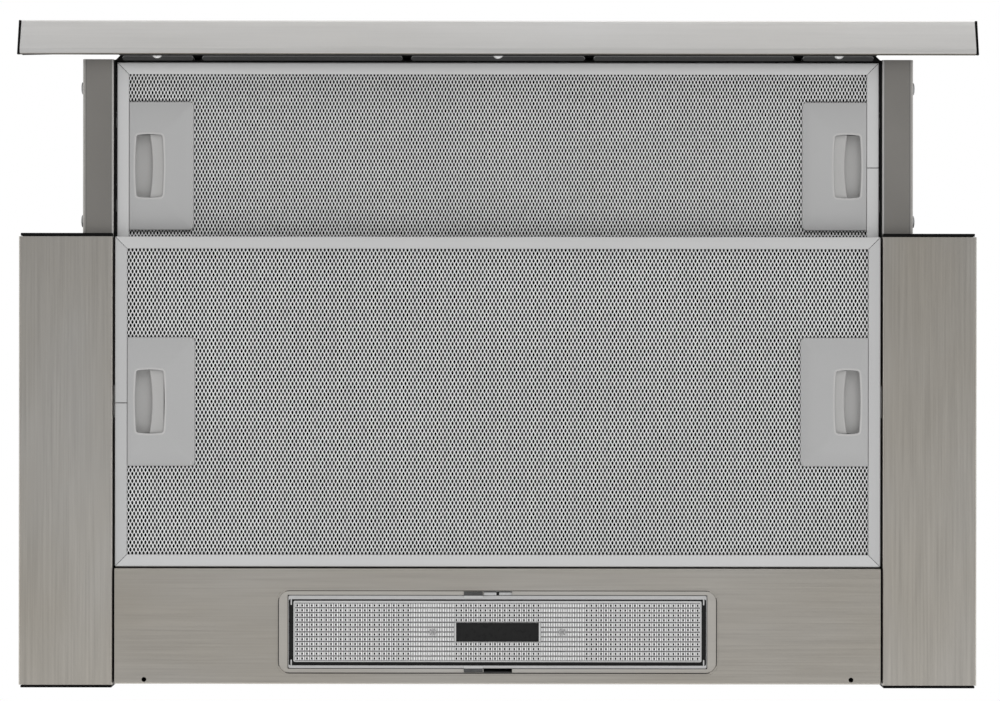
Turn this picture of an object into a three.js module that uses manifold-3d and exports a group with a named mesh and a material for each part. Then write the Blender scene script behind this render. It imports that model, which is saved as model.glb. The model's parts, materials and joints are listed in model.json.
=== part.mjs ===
// A telescopic range hood that hangs in a wall cabinet, with its filter drawer pulled out.
// Millimetres. While it is being built, x is 0 on the centre line, y is 0 on the wall plane and
// falls towards the front, and z is 0 on the underside of the side covers. The finished group is
// moved so that its origin is the bottom centre of the whole hood.
import * as THREE from "three";
import { mergeVertices } from "three/addons/utils/BufferGeometryUtils.js";
import Module from "manifold-3d";

const wasm = await Module();
wasm.setup();

// ---- driving dimensions ----
const bodyWidth = 596; // over both side covers
const bodyDepth = 279; // length of a side cover
const casingHeight = 175; // underside to the casing's top plate
const drawerTravel = 110.5; // how far the drawer is pulled out
const sheet = 1; // folded steel sheet
const seat = 0.3; // clearance between pieces that sit on each other
const slide = 0.3; // clearance between pieces that slide in each other

// side covers and their end caps
const coverWidth = 58.4;
const coverHeight = 38;
const coverLip = 7; // upturned inner edge that the rear filter's bolts rest on
const coverBend = 1.8;
const rearCapThickness = 1.4;
const frontCapThickness = 1.8;
const capInset = 1.2; // how far a cap stays inside the cover's outer face
const capGap = 0.4; // cap from the cover's inner lip

// drawer rails
const railWidth = 19.4;
const railHeight = 18;
const railRearRoom = 15.6; // casing's rear wall to the rail's end when the drawer is shut
const railUnder = 1; // rail over the rear filter's bolts
const railSheet = 1.2;
const railInset = 0.5; // rail's inner face from the cover's lip
const railFrontSetback = 2.1; // rail's front end from the fascia's rear lip
const rivetDiameter = 7.6;
const rivetRise = 1;
const rivetClearance = 1;
const rivetSetbacks = [17.8, 101]; // rivets from the rail's front end
const guideSetback = 2; // guide's front end from the covers' front ends
const guideRearRoom = 19.1; // casing's rear wall to the guide's rear end
const guideReach = 18; // length of a guide's lips under and over the rail

// lamp panel
const panelDepth = 72.1;
const panelSideGap = 1.3;
const panelRearGap = 0.5; // panel's rear face from the covers' rear ends
const panelFlange = 14;
const recessLength = 272.6;
const recessWidth = 51.2;
const recessRise = 1.2;
const recessRadius = 7;
const recessRearGap = 6.9; // recess from the panel's rear edge
const openingLength = 261.2;
const openingWidth = 46;
const lensClearance = 0.4;
const lensThickness = 2.5;
const lensTabWidth = 11.8;
const lensTabReach = 2.4;
const lensTabThickness = 0.7;
const lensTabCentre = -15;
const notchLength = 30.4; // ledge notch that holds a lens tab and leaves the rest open
const panelHoleDiameter = 3;
const panelHoleInset = 18.4; // screw hole from the panel's end
const panelHoleSetback = 2.9; // screw hole from the panel's rear edge

// lamps
const trayRim = 2; // lamp tray's inner wall from the panel's opening
const holderWall = 4; // closed inner end of a lamp holder
const bulbRoom = 11.7; // beyond a bulb's end
const holderDiameter = 26;
const holderLength = 26.7;
const holderStart = 26.2; // holders' inner ends from the centre line
const bulbDiameter = 24;
const bulbReach = 68; // bulb beyond its holder
const bulbCapDiameter = 13.4;
const bulbShoulder = 7; // length of the swell from its cap to its full diameter
const lampRoom = 5.3; // underside to the bottom of a lamp holder

// grease filters
const filterThickness = 9;
const filterRim = 7.5; // visible width of a filter's frame
const filterSheet = 0.8;
const filterGap = 0.9; // rear filter from the lamp panel
const filterOverlap = 17.5; // front filter over the rear one when the drawer is pulled out
const frameGap = 0.4; // front filter from the drawer frame
const filterStep = 2; // air between the rear filter and the front filter that slides over it
const meshThickness = 0.6;
const plateLength = 80;
const plateShift = 0.9; // front filter's latches behind its middle
const pitLength = 39.4;
const pitInner = 28.7; // finger pit's inner edge from the filter's side
const pitDepth = 6;
const pitRadius = 2.4;
const plateProudness = 0.1; // a latch housing below its filter's frame
const plateBelow = 0.4; // its top below the frame's
const skin = 1; // walls of a latch housing
const latchTravel = 6;
const boltHold = 1.6; // rear filter's bolts over the covers' lips
const boltWidth = 20;
const boltThickness = 1.3;
const thumbWidth = 9;
const thumbFace = 6.6; // finger pit's inner edge to the thumb piece's face
const thumbHollow = 1.4;
const latchEnd = 0.5; // latch beyond each end of the pit

// fascia and drawer frame
const fasciaOverhang = 1; // fascia beyond the side covers, at each end
const fasciaDepth = 22;
const fasciaDrop = 2.1; // how far the fascia's lip hangs below the side covers
const fasciaRise = 8.3; // slope of its underside
const fasciaHeight = 38.1; // lip to top
const fasciaTopFlange = 14;
const fasciaLip = 3.6;
const fasciaCapThickness = 1.4;
const fasciaGap = 0.5; // fascia from the front caps when the drawer is shut
const barGap = 3.3; // fascia's lip to the rear face of the drawer's front bar
const barWall = 2.7;
const barChamfer = 3.7;
const barOver = 0.4; // drawer frame over the rear filter
const barDepth = 12; // depth of the screw holes and slots in the bar's underside
const shelfThickness = 2.5;
const barEnd = 6; // how far the bar's front part stops short of the fascia's steel
const sideStrip = 1;
const stripDrop = 1; // side strips below the front filter
const rearBar = 2.5;
const stopTab = 5.5; // drawer's stop tabs above its rear bar
const stopTabWidth = 24;
const stopTabOffset = 150;
const screwInset = 26.8; // outer screws from the drawer frame's ends
const screwSetback = 2.8; // screws from the bar's front face
const screwHeadDiameter = 6.8;
const screwHeadHeight = 2.4;
const screwShankDiameter = 3;
const screwLength = 9;
const slotInset = 51.8; // outer tapered slots from the drawer frame's ends
const slotOffset = 57; // inner tapered slots from the centre line
const slotWide = 6.2;
const slotNarrow = 3.2;
const slotWall = 0.6; // behind a slot's narrow end

// casing and blower
const mouthClearance = 2.1; // drawer's top cover to the casing's stop flange
const casingFrontSetback = 1.5; // casing's front face from the covers' front ends
const collarDiameter = 120;
const collarWall = 2;
const collarHeight = 30;
const collarBase = 2;
const collarFlange = 12;
const collarLedge = 2.5;
const collarLedgeHeight = 7.7;
const spindleDiameter = 2.4;
const flapBore = 0.2; // a knuckle's clearance on the spindle
const knuckleWall = 1;
const knuckleHalf = 6;
const frontKnuckle = 38; // knuckles' centres from the centre line
const rearKnuckle = 14;
const flapThickness = 1.2;
const flapClearance = 0.5;
const scrollSetback = 29.6; // scroll from the casing's front wall
const scrollWidth = 96;
const scrollWall = 2;
const scrollInnerRadius = 52;
const scrollOuterRadius = 68;
const scrollAxisHeight = 104;
const tongueAngle = Math.PI / 3;
const impellerRadius = 46;
const impellerLength = 76;
const bladeCount = 24;
const bladeLength = 8;
const bladeThickness = 1;
const bladePitch = 0.5; // radians from the wheel's radius
const wheelDisc = 2;
const inletRadius = 38;
const motorRadius = 38;
const motorLength = 62;
const shaftRadius = 4;
const hubRadius = 12;
const hubLength = 20;
const bellLength = 10; // a motor's end bell
const bearingBoss = 6; // motor's far bearing, beyond its end bell

// electrical pieces
const terminalBox = [60, 46, 32];
const terminalRoom = 3; // behind it
const terminalNeck = 14; // depth of the cable's hole in its top
const terminalInset = 87.8; // terminal box's middle from the casing's side wall
const glandRadius = 9;
const glandHeight = 11;
const glandFlange = 3;
const cableRadius = 4;
const capacitorRadius = 15;
const capacitorLength = 52;
const capacitorInset = 72.8; // capacitor's middle from the casing's side wall
const capacitorDrop = 45;
const switchHeight = 18; // switch windows' centre above the underside
const switchWindow = 12;
const switchDepth = 18;
const switchBodyHeight = 20;
const switchMargin = 1.4; // beside the speed switch's plate
const lightPlate = 17;
const lightTravel = 5;
const lightOffset = 1.7; // from the middle of the room beside the casing, towards the casing
const speedTravel = 15;
const speedOffset = 0.8;
const knobWidth = 5;
const knobHeight = 5;
const knobSlot = 2.2; // depth of a knob's slot
const knobDish = 0.9; // depth of the groove across a knob's face
const plateProud = 0.3; // switch plates in front of the caps
const plungerTravel = 1.5;
const plungerSize = 4;
const plungerLength = 6;
const plungerGap = 0.4; // plunger from the rail's end when the drawer is shut
const microSwitch = [14, 13]; // width and height

// ---- places worked out from the driving dimensions ----
const bodyHalf = bodyWidth / 2;
const coverInner = bodyHalf - coverWidth;
const coverRear = -(rearCapThickness + seat);
const coverFront = coverRear - bodyDepth;
const capFront = coverFront - seat - frontCapThickness;
const railInner = coverInner + railInset;
const railOuter = railInner + railWidth;
const guideWeb = railOuter + rivetRise + rivetClearance; // inner face of a guide's web
const casingInner = guideWeb + sheet + seat;
const casingHalf = casingInner + sheet;
const switchRoom = bodyHalf - sheet - casingHalf;
const switchMiddle = casingHalf + switchRoom / 2;
const lightSwitch = {
  side: -1, centre: switchMiddle - lightOffset, plate: lightPlate, travel: lightTravel,
};
const speedSwitch = {
  side: 1, centre: switchMiddle - speedOffset, plate: switchRoom - 2 * switchMargin, travel: speedTravel,
};
const casingRear = coverRear - seat;
const casingFront = coverFront + casingFrontSetback;

const panelHalf = coverInner - panelSideGap;
const panelRear = coverRear - panelRearGap;
const panelFront = panelRear - panelDepth;
const lampY = panelRear - recessRearGap - recessWidth / 2;
const ledgeTop = recessRise + sheet;

const rearFilter = {
  name: "rear", half: panelHalf, front: coverFront, rear: panelFront - filterGap, bottom: sheet,
  middle: (coverFront + panelFront - filterGap) / 2, plateInner: 49.6, pitOuter: 13,
  boltReach: coverInner + boltHold,
};
const boltLevel = coverLip + seat - rearFilter.bottom; // bolt's underside above its filter's
const rearFilterTop = rearFilter.bottom + filterThickness;
const railBottom = rearFilter.bottom + boltLevel + boltThickness + railUnder;
const railTop = railBottom + railHeight;
const lipShut = capFront - fasciaGap; // fascia's rear lip when the drawer is shut
const lipY = lipShut - drawerTravel;
const railFront = lipY + railFrontSetback;
const railShut = casingRear - sheet - railRearRoom; // rail's rear end when the drawer is shut
const railRear = railShut - drawerTravel;
const guideFront = coverFront + guideSetback;
const guideRear = casingRear - sheet - guideRearRoom;
const barRear = lipY + barGap;
const stripOuter = railInner - seat;
const stripInner = stripOuter - sideStrip;
const frontFilter = {
  name: "front", half: stripInner - frameGap, front: barRear + frameGap,
  rear: barRear + frameGap + drawerTravel + filterOverlap,
  middle: barRear + frameGap + (drawerTravel + filterOverlap) / 2 + plateShift,
  bottom: rearFilterTop + filterStep, plateInner: 47.8, pitOuter: 11.8, boltReach: stripOuter,
};
const barBottom = rearFilterTop + barOver;
const stripBottom = frontFilter.bottom - stripDrop;
const screwOffset = stripOuter - screwInset;
const screwY = barRear - barWall - screwSetback;
const slotOffsets = [slotInset - stripOuter, -slotOffset, slotOffset, stripOuter - slotInset];
const coverPlateBottom = railTop + seat;
const mouthTop = coverPlateBottom + sheet + mouthClearance;
const rearBarFront = frontFilter.rear + frameGap;
const fasciaTop = fasciaHeight - fasciaDrop;
const fasciaFront = lipY - fasciaDepth;
const fasciaHalf = bodyHalf + fasciaOverhang - fasciaCapThickness - seat;
const scrollY = casingFront + sheet + scrollSetback + scrollWall + scrollOuterRadius;
const ductFront = scrollY + scrollInnerRadius * Math.cos(tongueAngle);
const collarY = (ductFront + scrollY + scrollOuterRadius) / 2;
const scrollTop = casingHeight - sheet - seat;

// ---- shape helpers ----

// A closed three.js geometry as a solid: vertices merged, empty triangles dropped, faces outward.
function toSolid(geometry) {
  geometry.deleteAttribute("normal");
  geometry.deleteAttribute("uv");
  const merged = mergeVertices(geometry, 1e-4);
  const places = Float32Array.from(merged.attributes.position.array);
  const corners = [];
  let volume = 0;
  const at = (i) => new THREE.Vector3().fromArray(places, 3 * i);
  for (let i = 0; i < merged.index.count; i += 3) {
    const [a, b, c] = [0, 1, 2].map((k) => merged.index.getX(i + k));
    if (a === b || b === c || c === a) continue;
    corners.push([a, b, c]);
    volume += at(a).dot(at(b).cross(at(c)));
  }
  const triVerts = Uint32Array.from(corners.flatMap((t) => (volume < 0 ? [t[0], t[2], t[1]] : t)));
  return new wasm.Manifold(new wasm.Mesh({ numProp: 3, vertProperties: places, triVerts }));
}

// A box between two values on each axis, given in either order.
function block(x, y, z) {
  const geometry = new THREE.BoxGeometry(...[x, y, z].map((s) => Math.abs(s[1] - s[0])));
  geometry.translate(...[x, y, z].map((s) => (s[0] + s[1]) / 2));
  return toSolid(geometry);
}

// An outline pushed along an axis: (y, z) along x, (x, z) along y, or (x, y) along z.
function prism(axis, outline, from, to) {
  const shape = outline instanceof THREE.Shape
    ? outline : new THREE.Shape(outline.map((p) => new THREE.Vector2(...p)));
  const depth = Math.abs(to - from);
  const geometry = new THREE.ExtrudeGeometry(shape, { depth, bevelEnabled: false, curveSegments: 6 });
  const [x, y, z] = [[1, 0, 0], [0, 1, 0], [0, 0, 1]].map((v) => new THREE.Vector3(...v));
  const start = Math.min(from, to);
  const turn = new THREE.Matrix4();
  if (axis === "x") turn.makeBasis(y, z, x).setPosition(start, 0, 0);
  if (axis === "y") turn.makeBasis(x, z, y.clone().negate()).setPosition(0, start + depth, 0);
  if (axis === "z") turn.setPosition(0, 0, start);
  return toSolid(geometry.applyMatrix4(turn));
}

// A profile of (radius, place along the axis) turned round a line along x, y or z.
function turned(axis, profile, centre, steps = 24) {
  const geometry = new THREE.LatheGeometry(profile.map((p) => new THREE.Vector2(...p)), steps);
  if (axis === "x") geometry.rotateZ(-Math.PI / 2);
  if (axis === "z") geometry.rotateX(Math.PI / 2);
  return toSolid(geometry.translate(...centre));
}

// A plain round bar along an axis, from one place to another.
function bar(axis, radius, from, to, centre, steps = 24) {
  return turned(axis, [[0, from], [radius, from], [radius, to], [0, to]], centre, steps);
}

// A rectangle with round corners, as a shape.
function roundedRect([x0, x1], [y0, y1], r) {
  const shape = new THREE.Shape();
  shape.absarc(x1 - r, y0 + r, r, -Math.PI / 2, 0);
  shape.absarc(x1 - r, y1 - r, r, 0, Math.PI / 2);
  shape.absarc(x0 + r, y1 - r, r, Math.PI / 2, Math.PI);
  shape.absarc(x0 + r, y0 + r, r, Math.PI, 1.5 * Math.PI);
  return shape;
}

// The outline of a folded sheet: along one face, then back along the other, t to its left.
function foldedSheet(path, t) {
  const normals = path.slice(1).map((p, i) => {
    const [dx, dy] = [p[0] - path[i][0], p[1] - path[i][1]];
    const length = Math.hypot(dx, dy);
    return [-dy / length, dx / length];
  });
  const back = path.map((p, i) => {
    const a = normals[Math.max(i - 1, 0)];
    const b = normals[Math.min(i, normals.length - 1)];
    const k = t / (1 + a[0] * b[0] + a[1] * b[1]);
    return [p[0] + k * (a[0] + b[0]), p[1] + k * (a[1] + b[1])];
  });
  return [...path, ...back.reverse()];
}

// Both signs of a half width, and a pair of x values on one side.
const across = (half) => [-half, half];
const onSide = (side, a, b) => [side * a, side * b];

// ---- materials ----
function finish(color, roughness, metalness) {
  return new THREE.MeshStandardMaterial({ color, roughness, metalness });
}
const steel = finish(0xbdbab5, 0.35, 1);
const greySteel = finish(0x9b978f, 0.45, 0.9);
const zinc = finish(0xa9adb0, 0.5, 0.9);
const blackSteel = finish(0x26272a, 0.55, 0.4);
const aluminium = finish(0xc4c4c3, 0.4, 0.9);
const blackPlastic = finish(0x0d0d0e, 0.5, 0);
const greyPlastic = finish(0xa9aaa9, 0.5, 0);
const paleSlider = finish(0xb3b2af, 0.5, 0);
const whitePlastic = finish(0xe9e8e4, 0.45, 0);
const clearPlastic = finish(0xdde0e0, 0.15, 0);
const bulbGlass = finish(0xf2f0ea, 0.2, 0);
const screwSteel = finish(0xd5d6d8, 0.25, 1);

const hood = new THREE.Group();

function add(name, solid, material) {
  const { vertProperties, triVerts } = solid.getMesh();
  const geometry = new THREE.BufferGeometry();
  geometry.setAttribute("position", new THREE.BufferAttribute(Float32Array.from(vertProperties), 3));
  geometry.setIndex(Array.from(triVerts));
  geometry.computeVertexNormals();
  const mesh = new THREE.Mesh(geometry, material);
  mesh.name = name;
  hood.add(mesh);
}

// ---- casing ----

// Folded box, open below, with the drawer's mouth at the front and a return flange over it.
function casing() {
  const inside = across(casingInner);
  const wallFront = casingFront + sheet;
  const wallRear = casingRear - sheet;
  const mouth = [ductFront, scrollY + scrollOuterRadius];
  return block(across(casingHalf), [casingFront, casingRear], [sheet + seat, casingHeight])
    .subtract(block(inside, [wallFront, wallRear], [0, casingHeight - sheet]))
    .subtract(block(inside, [casingFront - sheet, wallFront + sheet], [0, mouthTop]))
    .subtract(block(inside, [wallRear - sheet, casingRear + sheet], [0, panelFlange + seat]))
    .add(block(inside, [casingFront, rearBarFront - seat], [mouthTop, mouthTop + sheet]))
    .subtract(block(across(scrollWidth / 2 - scrollWall), mouth, [scrollTop, casingHeight + sheet]))
    .subtract(bar("z", glandRadius, scrollTop - sheet, casingHeight + sheet, [terminalX, glandY, 0]));
}

// ---- side covers ----

// Channel below and outside the casing: inner lip, floor, outer wall and a top flange that seats
// under the cabinet's side.
function sideCover(side) {
  const bend = [];
  for (let i = 0; i <= 3; i++) {
    const angle = (Math.PI / 2) * (i / 3);
    bend.push([bodyHalf - coverBend * (1 - Math.sin(angle)), coverBend * (1 - Math.cos(angle))]);
  }
  const path = [
    [coverInner, coverLip], [coverInner, 0], ...bend, [bodyHalf, coverHeight],
    [casingHalf + seat, coverHeight],
  ];
  const outline = foldedSheet(path, sheet).map(([x, z]) => [side * x, z]);
  return prism("y", outline, coverFront, coverRear);
}

// Moulded plate over a cover's front end, cut out for the rail and for the switch plate.
function frontCap(side, control) {
  const outer = bodyHalf - capInset;
  const faces = [capFront, coverFront - seat];
  const through = [capFront - 1, coverFront];
  return block(onSide(side, coverInner + capGap, outer), faces, [0, coverHeight])
    .subtract(block(onSide(side, coverInner - 1, guideWeb + sheet), through,
      [railBottom - sheet - 2 * slide, mouthTop - sheet]))
    .subtract(switchOpening(control, through, seat));
}

function switchOpening(control, faces, room) {
  const { side, centre, plate } = control;
  const half = plate / 2 + room;
  const high = switchWindow / 2 + room;
  return block(onSide(side, centre - half, centre + half), faces,
    [switchHeight - high, switchHeight + high]);
}

function rearCap(side) {
  const x = onSide(side, coverInner + capGap, bodyHalf - capInset);
  return block(x, [-rearCapThickness, 0], [0, coverHeight]);
}

// C-shaped runner on the casing's side wall, round the rail's outer edge.
function railGuide(side) {
  const lip = guideWeb - guideReach;
  const [low, high] = [railBottom - slide - sheet, railTop + slide + sheet];
  const outline = foldedSheet(
    [[lip, low], [guideWeb + sheet, low], [guideWeb + sheet, high], [lip, high]], sheet);
  return prism("y", outline.map(([x, z]) => [side * x, z]), guideFront, guideRear);
}

// ---- lamp panel ----

const inPanel = (half) => [lampY - half, lampY + half];

// Flat panel with upturned front and rear edges, and a pressed recess round the lens opening.
function lampPanel() {
  const wide = across(panelHalf);
  const recess = (grow) => roundedRect(
    across(recessLength / 2 + grow), inPanel(recessWidth / 2 + grow), recessRadius + grow);
  let panel = block(wide, [panelFront, panelRear], [0, sheet])
    .add(block(wide, [panelFront, panelFront + sheet], [0, panelFlange]))
    .add(block(wide, [panelRear - sheet, panelRear], [0, panelFlange]))
    .add(prism("z", recess(sheet), 0, ledgeTop))
    .subtract(prism("z", recess(0), -sheet, recessRise))
    .subtract(block(across(openingLength / 2), inPanel(openingWidth / 2), [0, 2 * ledgeTop]));
  for (const edge of [-1, 1]) {
    const start = lensTabCentre - lensTabWidth / 2 - lensClearance;
    const y = [lampY, lampY + edge * (openingWidth / 2 + lensTabReach)];
    panel = panel
      .subtract(block([start + lensTabWidth + 2 * lensClearance, start + notchLength], y, [0, 2 * ledgeTop]))
      .subtract(bar("z", panelHoleDiameter / 2, -sheet, 2 * sheet,
        [edge * (panelHalf - panelHoleInset), panelRear - panelHoleSetback, 0], 16));
  }
  return panel;
}

// Clear lens that fills the opening, with a tab on each long side that lies against the ledge.
function lampLens() {
  const [half, deep] = [openingLength / 2 - lensClearance, openingWidth / 2 - lensClearance];
  const tabs = block([lensTabCentre - lensTabWidth / 2, lensTabCentre + lensTabWidth / 2],
    inPanel(openingWidth / 2 + lensTabReach - lensClearance),
    [recessRise - seat - lensTabThickness, recessRise - seat]);
  return block(across(half), inPanel(deep), [seat / 2, seat / 2 + lensThickness]).add(tabs);
}

const lampAxis = lampRoom + holderDiameter / 2;
const trayTop = lampAxis + holderDiameter / 2 + seat;

// Open-bottomed tray over the lens that the lamp holders hang in.
function lampTray() {
  const bulbEnd = holderStart + holderLength + bulbReach;
  const half = Math.max(openingLength / 2 + trayRim, bulbEnd + bulbRoom);
  const deep = openingWidth / 2 + trayRim;
  return block(across(half + sheet), inPanel(deep + sheet), [ledgeTop + seat, trayTop + sheet])
    .subtract(block(across(half), inPanel(deep), [0, trayTop]));
}

function lampHolder(side) {
  const [start, end] = [side * holderStart, side * (holderStart + holderLength)];
  const bore = bulbCapDiameter / 2 + seat;
  return bar("x", holderDiameter / 2, start, end, [0, lampY, lampAxis])
    .subtract(bar("x", bore, side * (holderStart + holderWall), end + side, [0, lampY, lampAxis]));
}

// Tubular bulb: threaded cap in the holder, shoulder, glass and a round end.
function bulb(side) {
  const start = holderStart + holderWall + seat;
  const shoulder = holderStart + holderLength + 1;
  const end = holderStart + holderLength + bulbReach;
  const [cap, radius] = [bulbCapDiameter / 2, bulbDiameter / 2];
  const profile = [[0, start], [cap, start], [cap, shoulder]];
  for (let i = 1; i <= 4; i++) {
    const angle = (Math.PI / 2) * (i / 4);
    profile.push([cap + (radius - cap) * Math.sin(angle), shoulder + bulbShoulder * (1 - Math.cos(angle))]);
  }
  for (let i = 0; i <= 5; i++) {
    const angle = (Math.PI / 2) * (i / 5);
    profile.push([radius * Math.cos(angle), end - radius + radius * Math.sin(angle)]);
  }
  profile[profile.length - 1][0] = 0;
  return turned("x", profile.map(([r, x]) => [r, side * x]), [0, lampY, lampAxis]);
}

// ---- grease filters ----

// Rectangular frame of channel section, its bolt slots cut through both sides.
function filterFrame(filter) {
  const { half, front, rear, middle, bottom } = filter;
  const top = bottom + filterThickness;
  const bolt = bottom + boltLevel;
  const ring = filterSheet + seat; // left of the rim outside its groove
  return block(across(half), [front, rear], [bottom, top])
    .subtract(block(across(half - filterRim), [front + filterRim, rear - filterRim], [bottom - 1, top + 1]))
    .subtract(block(across(half - ring), [front + ring, rear - ring],
      [bottom + filterSheet, top - filterSheet]))
    .subtract(block(across(half + 1), [middle - boltWidth / 2 - slide, middle + boltWidth / 2 + slide],
      [bolt - slide, bolt + boltThickness + slide]));
}

// A layer held in the frame's groove, cut back round the two latch housings.
function filterLayer(filter, from, to) {
  const { half, front, rear, middle, plateInner } = filter;
  const edge = filterSheet + 2 * seat;
  let layer = block(across(half - edge), [front + edge, rear - edge], [from, to]);
  for (const side of [-1, 1]) {
    layer = layer.subtract(block(onSide(side, half - plateInner - seat, half + 1),
      [middle - plateLength / 2 - seat, middle + plateLength / 2 + seat], [from - 1, to + 1]));
  }
  return layer;
}

// Latch housing: a flat plate with the finger pit, hollow above it for the latch.
function latchHousing(filter, side) {
  const { half, middle, bottom, plateInner, pitOuter } = filter;
  const y = (d) => [middle - d, middle + d];
  const latchTop = bottom + boltLevel + boltThickness + slide;
  const thumbInner = half - pitInner - slide;
  const pocket = onSide(side, thumbInner - latchTravel - slide - 3, half - pitOuter + slide);
  const outer = half - filterRim - seat;
  const pit = onSide(side, half - pitInner, half - pitOuter).sort((a, b) => a - b);
  return block(onSide(side, half - plateInner, outer), y(plateLength / 2),
    [bottom - plateProudness, bottom + filterThickness - plateBelow])
    .subtract(prism("z", roundedRect(pit, y(pitLength / 2), pitRadius), bottom - 1, bottom + pitDepth))
    .subtract(block(pocket, y(pitLength / 2 + 1), [bottom + skin, latchTop]))
    .subtract(block(onSide(side, half - pitOuter, half), y(boltWidth / 2 + slide),
      [bottom + boltLevel - slide, latchTop]));
}

// Latch: a thumb piece with a hollowed face, its floor plate and the bolt that holds the filter.
function latch(filter, side) {
  const { half, middle, bottom, pitOuter, boltReach } = filter;
  const face = half - pitInner + thumbFace;
  const floor = bottom + boltLevel;
  const thumb = new THREE.Shape();
  const end = pitLength / 2 + latchEnd;
  thumb.moveTo(side * (face - thumbWidth), middle - end);
  thumb.lineTo(side * face, middle - end);
  thumb.quadraticCurveTo(side * (face - 2 * thumbHollow), middle, side * face, middle + end);
  thumb.lineTo(side * (face - thumbWidth), middle + end);
  thumb.closePath();
  const plateEnd = half - pitOuter - slide;
  const plate = [floor, floor + boltThickness];
  const bolt = [middle - boltWidth / 2, middle + boltWidth / 2];
  return prism("z", thumb, bottom + skin + slide, floor + 0.5)
    .add(block(onSide(side, face - thumbWidth, plateEnd), [middle - end, middle + end], plate))
    .add(block(onSide(side, plateEnd - 1, boltReach), bolt, plate));
}

function addFilter(filter) {
  const mesh = filter.bottom + filterSheet + seat;
  const core = mesh + meshThickness + seat;
  add(`${filter.name}_filter_frame`, filterFrame(filter), aluminium);
  add(`${filter.name}_filter_mesh`, filterLayer(filter, mesh, mesh + meshThickness), aluminium);
  add(`${filter.name}_filter_core`,
    filterLayer(filter, core, filter.bottom + filterThickness - filterSheet - seat), zinc);
  for (const [side, word] of [[-1, "left"], [1, "right"]]) {
    add(`${filter.name}_latch_housing_${word}`, latchHousing(filter, side), greyPlastic);
    add(`${filter.name}_latch_${word}`, latch(filter, side), paleSlider);
  }
}

// ---- drawer ----

// U-shaped rail, open above, with two button rivets on its outer flange.
function drawerRail(side) {
  const channel = [
    [railInner, railTop], [railInner, railBottom], [railOuter, railBottom], [railOuter, railTop],
  ];
  const outline = foldedSheet(channel, railSheet).map(([x, z]) => [side * x, z]);
  let rail = prism("y", outline, railFront, railRear);
  for (const setback of rivetSetbacks) {
    const r = rivetDiameter / 2;
    const face = railOuter - railSheet / 2;
    const head = [[0, face], [r, face], [r, railOuter + 0.3 * rivetRise], [0.6 * r, railOuter + rivetRise],
      [0, railOuter + rivetRise]].map(([radius, x]) => [radius, side * x]);
    rail = rail.add(turned("x", head, [0, railFront + setback, railBottom + railHeight / 2], 16));
  }
  return rail;
}

// Moulded frame that carries the fascia, the front filter and the stop tabs, between the rails.
function drawerFrame() {
  const inFascia = fasciaHalf - barEnd;
  const flangeUnder = fasciaTop - sheet - seat;
  const faceBack = fasciaFront + sheet + seat;
  const barFront = barRear - barWall;
  const plan = [
    [-stripOuter + barChamfer, barRear - barChamfer], [stripOuter - barChamfer, barRear - barChamfer],
    [stripOuter, barRear], [-stripOuter, barRear],
  ];
  const rearBarEnd = rearBarFront + rearBar;
  let frame = prism("z", plan, barBottom, railTop)
    .add(block(across(stripOuter - barChamfer), [faceBack, barFront],
      [barBottom, barBottom + shelfThickness]))
    .add(block(across(inFascia), [faceBack, faceBack + shelfThickness], [barBottom, flangeUnder]))
    .add(block(across(stripOuter), [rearBarFront, rearBarEnd], [stripBottom, railTop]));
  for (const side of [-1, 1]) {
    const bolt = frontFilter.bottom + boltLevel;
    const { middle } = frontFilter;
    const boltHole = [middle - boltWidth / 2 - slide, middle + boltWidth / 2 + slide];
    const tab = [side * stopTabOffset - stopTabWidth / 2, side * stopTabOffset + stopTabWidth / 2];
    frame = frame
      .add(block(onSide(side, stripInner, stripOuter), [barRear - 1, rearBarEnd], [stripBottom, railTop]))
      .subtract(block(onSide(side, stripInner - 1, stripOuter + 1), boltHole,
        [bolt - slide, bolt + boltThickness + slide]))
      .add(block(tab, [rearBarFront, rearBarEnd], [railTop - 1, railTop + stopTab]));
  }
  for (const x of slotOffsets) {
    const slot = [[x - slotWide / 2, barFront - 1], [x + slotWide / 2, barFront - 1],
      [x + slotNarrow / 2, barRear - slotWall], [x - slotNarrow / 2, barRear - slotWall]];
    frame = frame.subtract(prism("z", slot, barBottom - 1, barBottom + barDepth));
  }
  for (const x of [-screwOffset, 0, screwOffset]) {
    frame = frame.subtract(
      bar("z", screwShankDiameter / 2 + seat, barBottom - 1, barBottom + barDepth, [x, screwY, 0], 16));
  }
  return frame;
}

// Pan-head screw driven up into the frame, its head below the shelf.
function fasciaScrew(x) {
  const r = screwHeadDiameter / 2;
  const under = barBottom - seat;
  const shank = screwShankDiameter / 2;
  const profile = [[0, under - screwHeadHeight], [0.6 * r, under - screwHeadHeight],
    [r, under - 0.4 * screwHeadHeight], [r, under], [shank, under], [shank, under + screwLength],
    [0, under + screwLength]];
  return turned("z", profile, [x, screwY, 0], 20);
}

// Folded fascia: rear lip, sloping underside, front face and top flange.
function fasciaPath() {
  return [[lipY, fasciaLip - fasciaDrop], [lipY, -fasciaDrop], [fasciaFront, fasciaRise - fasciaDrop],
    [fasciaFront, fasciaTop], [fasciaFront + fasciaTopFlange, fasciaTop]];
}

function fascia() {
  const path = fasciaPath().reverse();
  return prism("x", foldedSheet(path, sheet), -fasciaHalf, fasciaHalf);
}

function fasciaCap(side) {
  const start = fasciaHalf + seat;
  return prism("x", fasciaPath(), side * start, side * (start + fasciaCapThickness));
}

// Flat plate over the drawer that leads the air back, on the rails' inner flanges.
function drawerTop() {
  return block(across(railInner + railSheet + 0.6), [barRear - barWall + 0.2, rearBarFront - seat],
    [coverPlateBottom, coverPlateBottom + sheet]);
}

// ---- blower ----

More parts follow.
